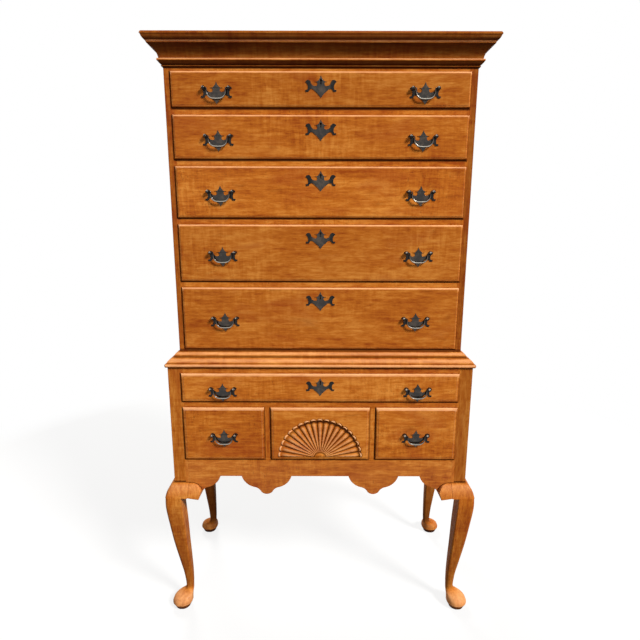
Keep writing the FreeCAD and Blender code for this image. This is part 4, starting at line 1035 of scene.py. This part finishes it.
def leg_rings():
    """The rings of a leg from its shoulder to the floor, as (height, points) in millimetres."""
    leg = settings("leg")
    post = leg.post / MM
    inset = leg.foot_inset / MM
    inner = inset + leg.foot_radius / MM
    rings = []
    top, knee = KNEE_SECTIONS[0][0], KNEE_SECTIONS[-1][0]
    for height in (top, top - 2.5, top - 6, top - 10, top - 15, top - 21, top - 28, top - 36, knee):
        rings.append((height, square_ring(eased_between(KNEE_SECTIONS, height)[0], post, 9, 1)))
    ankle, foot_top = LEG_SECTIONS[-1][0], FOOT_SECTIONS[1][0]
    for height in list(range(knee, ankle, -6)) + [ankle]:
        rings.append((height, square_ring(*eased_between(LEG_SECTIONS, height))))
    for height in (80, 76, 72, 69, 66, 63, 60, 57, 54, 51, 48, 45, 42, 39, 36, 33, 30, 27.5, 25, 23, 21.4):
        radius = eased_between(FOOT_SECTIONS, min(height, FOOT_SECTIONS[0][0]))[0]
        circle = round_ring(radius, inner - radius)
        blend = min(1, (ankle - height) / (ankle - foot_top))
        square = square_ring(*eased_between(LEG_SECTIONS, ankle))
        rings.append((height, [a.lerp(b, blend) for a, b in zip(square, circle)]))
    for height, radius in FOOT_SECTIONS:
        if height < 21:
            rings.append((height, round_ring(radius, inset)))
    return rings


def leg_shade_and_highlight(co):
    """Painted shade where the shoulder meets the post and on the foot's underside, darker round the ankle,
    painted highlights on the toe and the knee, and darker rear legs.
    """
    return along_table(LEG_SHADE_AND_HIGHLIGHT, co.z / MM) + (REAR_DARKENING if co.y > 0 else 0)


def block_shade_and_highlight(co):
    """Painted shade where a knee block meets the case; its front has the knee's painted highlights."""
    gap = LOWER_FACE - co.y if co.y < LOWER_FACE else abs(co.x) - SIDE_FACE
    return max(leg_shade_and_highlight(co), along_table(BLOCK_SHADE_AND_HIGHLIGHT, gap))


def post_shade_and_highlight(co):
    """The case's painted shade and grime on a post, and the leg's painted shade and highlights below its
    shoulder.
    """
    return case_shade_and_grime(co) if co.z > SHOULDER + HAIR else leg_shade_and_highlight(co)


def make_legs():
    leg = settings("leg")
    apron_low, apron_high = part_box("apron")
    rings = leg_rings()
    around = len(rings[0][1])
    height = SEAM - leg.shoulder

    def place(column, row):
        level, points = rings[row]
        return Vector((*points[column % around], level)) * MM
    for name, turn in (("front_left", 0), ("front_right", 90), ("rear_right", 180), ("rear_left", 270)):
        node = "leg_" + name
        low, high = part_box(node)
        cabriole = closed_tube(around, len(rings) - 1, place)
        post = block((leg.post / 2, leg.post / 2, leg.shoulder + height / 2), (leg.post, leg.post, height))
        ease(post, 1.4 * MM, lambda edge: max(middle(edge).x, middle(edge).y) < HAIR)
        ease(post, settings("wood").joint)
        corner_x = math.copysign(apron_high.x + leg.post, low.x + high.x)
        corner_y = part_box("lower_case_back")[1].y if "rear" in name else apron_low.y
        whole = Matrix.Translation((corner_x, corner_y, 0)) @ Matrix.Rotation(math.radians(turn), 4, "Z")
        moved(post, whole)
        score(post)
        piece = Piece(node + "_carved")
        piece.add(post, moved(cabriole, whole), along=2, edges=False, soil=post_shade_and_highlight)
        piece.finish("maple", node)
    blocks = Piece("knee_blocks_carved")
    for solid in solids("knee_blocks"):
        ease(solid, 4 * MM, lambda edge: edge.calc_length() > 3 * MM, segments=4)
        for gap in BLOCK_GAPS:
            divide(solid, (0, LOWER_FACE - gap, 0), (0, 1, 0))
            divide(solid, (SIDE_FACE + gap, 0, 0), (1, 0, 0))
            divide(solid, (-SIDE_FACE - gap, 0, 0), (1, 0, 0))
        blocks.add(solid, along=2, edges=False, soil=block_shade_and_highlight)
    blocks.finish("maple", "knee_blocks")


# Drawers

# How far from a front's corners the painted shade and highlight of its lip change
LIP_CORNER = 14 * MM
# Painted shade on the quarter round of a lip's sides and underside, from its edge in, turning a little pale
# further in; grime along the foot of its step; and painted shade on its rim
LIP_SHADE = [(0, 0.8), (0.2, 0.3), (0.6, 0), (1, -0.2)]
STEP_GRIME, RIM_SHADE = 0.45, 0.9
# Painted highlight on the top of a lip, from its edge in, before the strength that the next table gives its
# inner side
LIP_HIGHLIGHT = [(0, -0.9), (0.35, -0.8)]
# How strong the painted highlight is on the inner side of a lip's top
INNER_HIGHLIGHT = {"left_drawer": 0.75, "right_drawer": 0.75, "fan_drawer": 0.4, "long_drawer": 0.25}
# How much darker with age the field of a front is
FIELD_AGE = {"upper_drawer_1": 0.22, "upper_drawer_2": 0.1, "upper_drawer_4": 0.16, "upper_drawer_5": 0.12}


def lipped_slab(node, width, foot=1.0):
    """The part of a drawer front before the case, a slab with a quarter round and a step, and its field."""
    front = settings("front")
    low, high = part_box(node)
    edge = front.proud - front.rise - front.step
    centre = ((low.x + high.x) / 2, low.y + front.proud - edge / 2, (low.z + high.z) / 2)
    bm = block(centre, (high.x - low.x, edge, high.z - low.z))
    field = min(bm.faces, key=lambda face: face.calc_center_median().y)
    steps = 7
    for step in range(steps):
        here, there = [math.pi / 2 * (step + more) / steps for more in (0, 1)]
        bmesh.ops.inset_region(bm, faces=[field], use_even_offset=True,
                               thickness=width * (math.cos(here) - math.cos(there)),
                               depth=front.rise * (math.sin(there) - math.sin(here)))
    bmesh.ops.inset_region(bm, faces=[field], use_even_offset=True, thickness=0.25 * MM, depth=front.step)
    bmesh.ops.inset_region(bm, faces=[field], use_even_offset=True, thickness=1.2 * MM, depth=0.03 * MM)
    for axis in (0, 2):
        for value in (low[axis] + LIP_CORNER, high[axis] - LIP_CORNER):
            around = [face for face in bm.faces if face is not field]
            rims = {part for face in around for part in (*face.verts, *face.edges)}
            normal = Vector((axis == 0, 0, axis == 2))
            divide(bm, normal * value, normal, around + list(rims))
    band = width + MM
    for vert in bm.verts:
        if vert.co.z - low.z < band:
            vert.co.z = low.z + (vert.co.z - low.z) * foot
    return bm, field


def lip_grime_shade_and_highlight(low, high, width, worn, co, age=0):
    """Painted shade on a drawer's lip at its sides, underside and rim, and grime where it meets the field;
    a painted highlight all along its top; age on the field.
    """
    front = settings("front")
    forward = low.y + front.proud - co.y
    below, beside = high.z - co.z, min(co.x - low.x, high.x - co.x)
    inward = min(below, beside, co.z - low.z)
    if forward > front.proud - front.step / 2:
        return STEP_GRIME if inward < width + 0.6 * MM else age
    if forward < HAIR:
        return RIM_SHADE
    if below < beside + HAIR and below < LIP_CORNER:
        return along_table(LIP_HIGHLIGHT + [(1, -worn)], below / width)
    return along_table(LIP_SHADE, inward / width)


def rebated_body(node):
    """The part of a drawer front behind its lip, with the sockets and holes that CAD gave it."""
    case_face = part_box(node)[0].y + settings("front").proud
    return slice_off(solids(node)[0], (0, case_face + HAIR, 0), (0, -1, 0))


def keyhole_corners(grow=0.0):
    """A keyhole about the line of an escutcheon's ears: a round with a slot below it."""
    radius = 3 * MM + grow
    slot = 1.6 * MM + grow
    level = 5 * MM
    foot = level - 11 * MM - grow
    throat = level - math.sqrt(radius ** 2 - slot ** 2)
    return [(slot, throat), (slot, foot), (-slot, foot), (-slot, throat, -radius),
            (0, level + radius, -radius)]


def make_fronts():
    front = settings("front")
    pull = settings("pull")
    for drawer in DRAWERS:
        node = drawer + "_front"
        if drawer == "fan_drawer":
            continue
        low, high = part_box(node)
        width = front.upper if "upper" in drawer else front.lower
        # worn is the strength of the painted highlight on the inner side of the lip's top
        worn, age = INNER_HIGHLIGHT.get(drawer, 0.1), FIELD_AGE.get(drawer, 0)
        slab, _ = lipped_slab(node, width)
        if high.x - low.x > WIDE:
            hole = extruded([keyhole_corners(0.3 * MM)], 30 * MM)
            slab = bored(slab, shifted(hole, 0, low.y - 10 * MM, high.z - pull.plate_below_lip))
        piece = Piece(drawer + "_face")
        piece.add(slab, rebated_body(node), along=0,
                  soil=lambda co: lip_grime_shade_and_highlight(low, high, width, worn, co, age))
        piece.finish("maple", node)


def make_fan():
    """The middle short drawer's front, with a fan of rays cut into its field."""
    front = settings("front")
    fan = settings("carving")
    node = "fan_drawer_front"
    low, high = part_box(node)
    slab, field = lipped_slab(node, front.lower, front.carved_foot)
    face_y = min(vert.co.y for vert in slab.verts)
    centre = Vector(((low.x + high.x) / 2, face_y, low.z + fan.lift))
    bmesh.ops.delete(slab, geom=[field], context="FACES_ONLY")
    per_ray = 14
    columns = fan.rays * per_ray + 2
    radii = [fan.boss * share for share in (0, 0.25, 0.5, 0.68, 0.74, 0.79, 0.86, 0.95, 1)]
    inner_rows = len(radii) - 1
    ray_rows = 58

    def dish(inward):
        """Depth of a ray's crest line at a distance from the fan's edge."""
        top = 0.3 * MM
        if inward < fan.crest:
            return top + (fan.wall - top) * (1 - inward / fan.crest) ** 1.6
        if inward < fan.bowl:
            t = (inward - fan.crest) / (fan.bowl - fan.crest)
            return top + (fan.depth - top) * (t * t * (3 - 2 * t))
        t = min(1, (inward - fan.bowl) / (24 * MM))
        return fan.depth + (1.4 * MM - fan.depth) * (t * t * (3 - 2 * t))

    def place(column, row):
        inner_column = min(max(column - 1, 0), columns - 2)
        wall = column in (0, columns)
        turn = math.pi * inner_column / (columns - 2)
        across_ray = (inner_column % per_ray) / per_ray * 2 - 1
        edge = fan.radius - fan.scallop * across_ray ** 2
        if row <= inner_rows:
            radius = radii[row]
            groove = math.exp(-((radius / fan.boss - 0.76) / 0.05) ** 2) * 0.9 * MM
            depth = 1.9 * MM * (radius / fan.boss) ** 3 + groove
        else:
            t = min(1, (row - inner_rows) / ray_rows)
            t = 1 - (1 - t) ** 1.7
            radius = fan.boss + (edge - fan.boss) * t
            along = (radius - fan.boss) / (fan.radius - fan.boss)
            rib = abs(across_ray) ** 2.6
            crest = dish(edge - radius)
            valley = 2.6 * MM + (fan.floor - 2.6 * MM) * min(1, along * 1.5)
            depth = crest + max(0, valley - crest) * rib
        if wall or row == inner_rows + ray_rows + 1:
            depth = 0
        return centre + Vector((-radius * math.cos(turn), depth, radius * math.sin(turn)))
    carving = mapped_grid(columns, inner_rows + ray_rows + 1, place)
    absorb(slab, carving)
    bmesh.ops.remove_doubles(slab, verts=slab.verts, dist=HAIR)
    rim = [edge for edge in slab.edges if edge.is_boundary]
    bmesh.ops.triangle_fill(slab, use_beauty=True, edges=rim)
    bmesh.ops.recalc_face_normals(slab, faces=slab.faces)

    def soil(co):
        """Painted shade between the rays, in their hollows, round the boss and at the fan's edge; painted
        highlights on the rays' ends and ridges.
        """
        from_centre = co - centre
        radius = math.hypot(from_centre.x, from_centre.z)
        turn = math.atan2(from_centre.z, -from_centre.x) / math.pi * fan.rays
        across_ray = turn % 1 * 2 - 1
        inward = (fan.radius - fan.scallop * across_ray ** 2 - radius) / MM
        if inward < -0.2 or from_centre.z < -HAIR or from_centre.y < HAIR:
            return lip_grime_shade_and_highlight(low, high, front.lower, INNER_HIGHLIGHT["fan_drawer"], co)
        ring = math.exp(-((radius - fan.boss) / (1.6 * MM)) ** 2)
        if radius < fan.boss:
            return 0.9 * ring
        between = 1.15 * abs(across_ray) ** 5
        # The hollows are painted darkest on the upper right, where the rim's shadow falls
        shadowed_side = max(0, math.sin(turn / fan.rays * math.pi - 0.35)) ** 1.5
        hollow = (0.25 + 1.5 * shadowed_side) * math.exp(-((inward - 10.5) / 5.2) ** 2)
        # Painted highlights on the turned ends and along the ridges of the rays
        end = 1.5 * math.exp(-((inward - 4) / 2.6) ** 2) * (1 - abs(across_ray) ** 3)
        ridge_highlight = 0.6 * max(0, 1 - 1.6 * abs(across_ray)) * min(1, inward / 25)
        edge = 1.1 * math.exp(-(inward / 1.1) ** 2)
        return max(between, hollow, ring * 0.9, edge) - end - ridge_highlight
    piece = Piece("fan_drawer_face")
    piece.add(slab, rebated_body(node), along=0, soil=soil)
    piece.finish("maple", node)


def make_boxes():
    for drawer in DRAWERS:
        eased_piece(drawer + "_box", "pine", 0.2 * MM)


# Brass

def plate_corners():
    """Batwing outline from the top spike round: most of its edges are hollow arcs."""
    pull = settings("pull")
    wide, rise, fall, ear = pull.half, pull.up, pull.down, pull.ear
    post = pull.bore / 2 + 0.1 * MM
    right = [
        (0.15 * wide, 0.30 * rise, 0.30 * wide),
        (0.41 * wide, 0.06 * rise, 0.14 * wide),
        (0.30 * wide, -0.24 * fall, 0.30 * wide),
        (post - 0.97 * ear, -0.24 * ear, -1.01 * ear),
        (post + ear, 0, 0.37 * wide),
        (0.85 * wide, -0.38 * fall),
        (0.89 * wide, -0.49 * fall),
        (wide, -0.48 * fall, -0.09 * wide),
        (0.97 * wide, -0.62 * fall),
        (0.80 * wide, -0.60 * fall, 0.34 * wide),
        (0.66 * wide, -0.42 * fall, 0.34 * wide),
        (0.40 * wide, -0.56 * fall, 1.40 * wide),
    ]
    half = [(0, rise, 0.70 * wide)] + right + [(0, -fall)]
    left = []
    for index in range(len(half) - 2, 0, -1):
        left.append((-half[index][0], half[index][1]) + tuple(half[index - 1][2:]))
    return half[:-1] + [(0, -fall, 1.40 * wide)] + left


# How black a plate is from its middle to the tips of its wings
WING = [(0, 0), (0.5, 0.05), (0.68, 0.8), (1, 0.9)]
# A post behind its plate, and its nut
STEM = 30.6 * MM
NUT_RADIUS, NUT_HEIGHT = 5 * MM, 3 * MM
# A bail's pins, inside the posts, and the radii of its elbows, of its corners and of its grip's sag
PIN_RADIUS, PIN_LENGTH = 1.5 * MM, 4 * MM
ELBOW, CORNER, SAG = 3.2 * MM, 19 * MM, 90 * MM


def plate(*holes):
    """A plate whose back is at Y 0, with filed front edges."""
    pull = settings("pull")
    solid = shifted(extruded([plate_corners(), *holes], pull.sheet), 0, -pull.sheet, 0)
    ease(solid, pull.bevel, lambda edge: middle(edge).y < HAIR - pull.sheet)
    for across, _ in WING[1:-1]:
        for side in (-across, across):
            divide(solid, (side * pull.half, 0, 0), (1, 0, 0))
    return solid


def plate_soil(across):
    """A plate's wings are blacker than its middle."""
    return along_table(WING, abs(across) / settings("pull").half)


def turned_post():
    """A post with a flared foot and a round head, along -Y from the plate's face at Y 0."""
    pull = settings("pull")
    head_length = 2 * pull.head
    tip = pull.reach
    start = tip - head_length
    corners = [
        (0, -STEM), (pull.stem, -STEM), (pull.stem, 0), (pull.head - 0.4 * MM, 0, 0.5 * MM),
        (pull.head - 0.4 * MM, 0.8 * MM), (pull.neck + 0.3 * MM, 1.5 * MM, -3 * MM),
        (pull.neck - 0.2 * MM, start - MM), (pull.neck + 0.5 * MM, start - 0.2 * MM),
        (pull.neck, start + 0.2 * MM, head_length / 2),
        (pull.head, tip - head_length / 2, pull.head), (pull.head / 4, tip), (0, tip),
    ]
    bm = trace(bmesh.new(), corners, closed=False)
    bmesh.ops.spin(bm, geom=bm.verts[:] + bm.edges[:], cent=(0, 0, 0), axis=(0, 0, 1), angle=2 * math.pi,
                   steps=24, use_merge=True)
    bmesh.ops.remove_doubles(bm, verts=bm.verts, dist=HAIR)
    moved(bm, Matrix.Rotation(math.pi / 2, 4, "X"))
    bmesh.ops.recalc_face_normals(bm, faces=bm.faces)
    return bm


def ring_nut():
    """A nut with a filed edge, its front at Y 0."""
    bm = bmesh.new()
    bmesh.ops.create_cone(bm, cap_ends=True, segments=20, radius1=NUT_RADIUS, radius2=NUT_RADIUS,
                          depth=NUT_HEIGHT)
    moved(bm, Matrix.Translation((0, NUT_HEIGHT / 2, 0)) @ Matrix.Rotation(math.pi / 2, 4, "X"))
    return ease(bm, 0.4 * MM)


def bail():
    """A bail that hangs from its pivot at the origin: two pins, two elbows and a swelling grip."""
    pull = settings("pull")
    post_inside = pull.bore / 2 - pull.head
    end = post_inside + PIN_LENGTH
    side = post_inside - 0.5 * MM - ELBOW
    foot = CORNER - pull.drop
    bottom = side - CORNER
    corners = [
        (-end, 0), (-side - ELBOW, 0, -ELBOW), (-side, -ELBOW), (-side, foot, CORNER),
        (-bottom, -pull.drop, SAG), (bottom, -pull.drop, CORNER), (side, foot),
        (side, -ELBOW, -ELBOW), (side + ELBOW, 0), (end, 0),
    ]
    line = trace(bmesh.new(), corners, closed=False)
    path = [vert.co.copy() for vert in line.verts]
    line.free()
    sides = 12

    def place(column, row):
        at = path[row]
        before, after = path[max(row - 1, 0)], path[min(row + 1, len(path) - 1)]
        outwards = Vector((0, 1, 0)).cross((after - before).normalized())
        grip = max(0, -at.z / pull.drop) ** 2
        radius = pull.rod * (1 + pull.swell * grip)
        if abs(at.x) > side + ELBOW / 2:
            radius = PIN_RADIUS
        turn = 2 * math.pi * column / sides
        return at + Vector((0, 1, 0)) * radius * math.cos(turn) + outwards * radius * math.sin(turn)
    return closed_tube(sides, len(path) - 1, place)


def head_patina_and_glint(from_tip):
    """A post is black with patina, but for a painted glint on the upper left of its head."""
    head = settings("pull").head
    # The centre of the painted glint
    rubbed = Vector((-0.45, 0.35, 0.6)) * head
    return 0.8 if (from_tip - rubbed).length > 0.62 * head else -1


def bail_patina_and_highlight(from_pivot):
    """A bail's ends are black, and the front of its grip is polished bright, which also paints its
    highlight.
    """
    if from_pivot.z >= -4 * MM:
        return 0.7
    return min(0, from_pivot.y / settings("pull").rod + 0.9) / 0.4


def make_pulls():
    """Plates, posts, nuts and escutcheons, one piece of brass for each drawer that has them."""
    pull = settings("pull")
    pieces = {}
    for joint in frame["joints"]:
        if not joint["name"].endswith("_swing"):
            continue
        drawer = joint["parent"]
        if drawer not in pieces:
            pieces[drawer] = Piece(drawer + "_brass")
        x, y, z = joint["pos_m"]
        face = y + pull.pivot + pull.sheet
        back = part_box(drawer + "_front")[1].y
        pieces[drawer].add(shifted(plate(), x, face, z), soil=lambda co: plate_soil(co.x - x))
        for across in (-pull.bore / 2, pull.bore / 2):
            tip = Vector((x + across, face - pull.sheet - pull.reach, z))
            pieces[drawer].add(shifted(turned_post(), tip.x, tip.y + pull.reach, z),
                               soil=lambda co: head_patina_and_glint(co - tip))
            pieces[drawer].add(shifted(ring_nut(), x + across, back, z))
        swinging = Piece(joint["child"] + "_rod")
        swinging.add(shifted(bail(), x, y, z), soil=lambda co: bail_patina_and_highlight(co - Vector((x, y, z))))
        swinging.finish("dark_brass", joint["child"])
    for drawer, piece in pieces.items():
        low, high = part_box(drawer + "_front")
        if high.x - low.x > WIDE:
            piece.add(shifted(plate(keyhole_corners()), 0, low.y, high.z - pull.plate_below_lip),
                      soil=lambda co: plate_soil(co.x))
        if drawer in LOCKED:
            piece.add(ease(solids(drawer + "_hardware")[-1], 0.4 * MM))
        piece.finish("dark_brass", drawer + "_hardware")


def make_bolts():
    for drawer in LOCKED:
        eased_piece(drawer + "_bolt", "lock_iron", 0.6 * MM)


# Stage

def seen_or_mirrored(shader):
    """1 for what the camera or a shiny surface sees, 0 for what only lights other things."""
    rays = shader.node("LightPath")
    return Wire(shader, rays.outputs["Is Camera Ray"]).highest(Wire(shader, rays.outputs["Is Glossy Ray"]))


def floor_material():
    stage = settings("stage")
    shader = Shader(bpy.data.materials.new("pale_floor"))
    seen = seen_or_mirrored(shader)
    x, y, _ = shader.parts(shader.position())
    far = (x * x + y * y).between(1, 6)
    glow = shader.node("Emission", sockets={"Color": (1, 1, 1, 1), "Strength": 1.0})
    matt = shader.node("BsdfDiffuse", sockets={
        "Color": shader.mix(seen, solid_colour(FLOOR_GLOW), solid_colour(stage.ground))})
    chosen = shader.node("MixShader", sockets={
        0: seen * far.highest(0.8), 1: Wire(shader, matt.outputs[0]), 2: Wire(shader, glow.outputs[0])})
    shader.node("OutputMaterial", sockets={"Surface": Wire(shader, chosen.outputs[0])})
    return shader.owner


def make_world():
    """Even light from all round, with a white background where it is seen or mirrored."""
    world = bpy.data.worlds.new("studio")
    bpy.context.scene.world = world
    shader = Shader(world)
    strength = seen_or_mirrored(shader).highest(settings("stage").sky)
    sky = shader.node("Background", sockets={"Color": (1, 1, 1, 1), "Strength": strength})
    shader.node("OutputWorld", sockets={"Surface": Wire(shader, sky.outputs[0])})


# Each lamp's place and width, and whether the brass and varnish mirror it
LAMPS = {
    "key": ((9.0, -8.0, 10.8), 4, True),
    "fill": ((-2.6, -6.6, 2.2), 3, False),
    "rear": ((-2.0, 6.0, 5.6), 3, False),
}


def make_lamps():
    """Round soft lamps, all turned to the middle of the highboy."""
    for name, (place, size, mirrored) in LAMPS.items():
        light = bpy.data.lights.new(name, "AREA")
        light.shape = "DISK"
        light.size = size
        light.energy = getattr(settings("stage"), name)
        lamp = linked(name, light)
        lamp.location = place
        lamp.rotation_euler = (Vector((0, 0, 1)) - Vector(place)).to_track_quat("-Z", "Y").to_euler()
        lamp.visible_glossy = mirrored


def make_stage():
    stage = settings("stage")
    bm = bmesh.new()
    bmesh.ops.create_grid(bm, x_segments=2, y_segments=2, size=30)
    mesh = bpy.data.meshes.new("floor")
    bm.to_mesh(mesh)
    bm.free()
    mesh.materials.append(floor_material())
    floor = linked("floor", mesh)
    floor.location.z = -0.2 * MM
    floor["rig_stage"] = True

    make_world()
    make_lamps()

    camera = bpy.data.cameras.new("camera")
    camera.sensor_width = 36
    camera.lens = stage.lens
    viewer = linked("camera", camera)
    viewer.location = (stage.across, -stage.distance, stage.height)
    turned = Matrix.Rotation(-stage.yaw, 3, "Z") @ Matrix.Rotation(math.pi / 2 - stage.pitch, 3, "X")
    viewer.rotation_euler = (turned @ Matrix.Rotation(stage.roll, 3, "Z")).to_euler()
    bpy.context.scene.camera = viewer
    bpy.context.scene.view_settings.view_transform = "Standard"


# Operators

class CaseOperator(bpy.types.Operator):
    """Makes the boards, rails, apron, backs and runners of both cases"""

    bl_idname = "highboy.case"
    bl_label = "Case"

    def execute(self, context):
        make_case()
        return {"FINISHED"}


class MouldingOperator(bpy.types.Operator):
    """Makes the cornice and the waist moulding in mitred lengths"""

    bl_idname = "highboy.mouldings"
    bl_label = "Mouldings"

    def execute(self, context):
        make_mouldings()
        return {"FINISHED"}


class LegOperator(bpy.types.Operator):
    """Makes the cabriole legs with their posts and knee blocks"""

    bl_idname = "highboy.legs"
    bl_label = "Legs"

    def execute(self, context):
        make_legs()
        return {"FINISHED"}


class FrontOperator(bpy.types.Operator):
    """Makes the plain drawer fronts with their moulded lips"""

    bl_idname = "highboy.fronts"
    bl_label = "Drawer fronts"

    def execute(self, context):
        make_fronts()
        return {"FINISHED"}


class FanOperator(bpy.types.Operator):
    """Makes the drawer front that is carved with a fan"""

    bl_idname = "highboy.fan"
    bl_label = "Carved fan"

    def execute(self, context):
        make_fan()
        return {"FINISHED"}


class BoxOperator(bpy.types.Operator):
    """Makes the dovetailed drawer boxes"""

    bl_idname = "highboy.boxes"
    bl_label = "Drawer boxes"

    def execute(self, context):
        make_boxes()
        return {"FINISHED"}


class PullOperator(bpy.types.Operator):
    """Makes the batwing pulls, their bails and the escutcheons"""

    bl_idname = "highboy.pulls"
    bl_label = "Pulls"

    def execute(self, context):
        make_pulls()
        return {"FINISHED"}


class BoltOperator(bpy.types.Operator):
    """Makes the lock bolts"""

    bl_idname = "highboy.bolts"
    bl_label = "Lock bolts"

    def execute(self, context):
        make_bolts()
        return {"FINISHED"}


class StageOperator(bpy.types.Operator):
    """Makes the floor, the light and the camera"""

    bl_idname = "highboy.stage"
    bl_label = "Stage"

    def execute(self, context):
        make_stage()
        return {"FINISHED"}


OPERATORS = (CaseOperator, MouldingOperator, LegOperator, FrontOperator, FanOperator, BoxOperator,
             PullOperator, BoltOperator, StageOperator)


class HighboyPanel(bpy.types.Panel):
    """Steps that make the highboy, in order"""

    bl_idname = "VIEW3D_PT_highboy"
    bl_label = "Highboy"
    bl_space_type = "VIEW_3D"
    bl_region_type = "UI"
    bl_category = "Highboy"

    def draw(self, context):
        for operator in OPERATORS:
            self.layout.operator(operator.bl_idname)


def register():
    for group, properties in SETTINGS.items():
        bpy.utils.register_class(properties)
        setattr(bpy.types.Scene, "highboy_" + group, bpy.props.PointerProperty(type=properties))
    for operator in OPERATORS:
        bpy.utils.register_class(operator)
    bpy.utils.register_class(HighboyPanel)


def unregister():
    bpy.utils.unregister_class(HighboyPanel)
    for operator in reversed(OPERATORS):
        bpy.utils.unregister_class(operator)
    for group, properties in SETTINGS.items():
        delattr(bpy.types.Scene, "highboy_" + group)
        bpy.utils.unregister_class(properties)


def main():
    register()
    for operator in OPERATORS:
        group, name = operator.bl_idname.split(".")
        getattr(getattr(bpy.ops, group), name)()
    boxes = {"cad": cad_box, "visual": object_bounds()}
    sizes = {name: [list(corner) for corner in box] for name, box in boxes.items()}


if __name__ == "__main__":
    main()
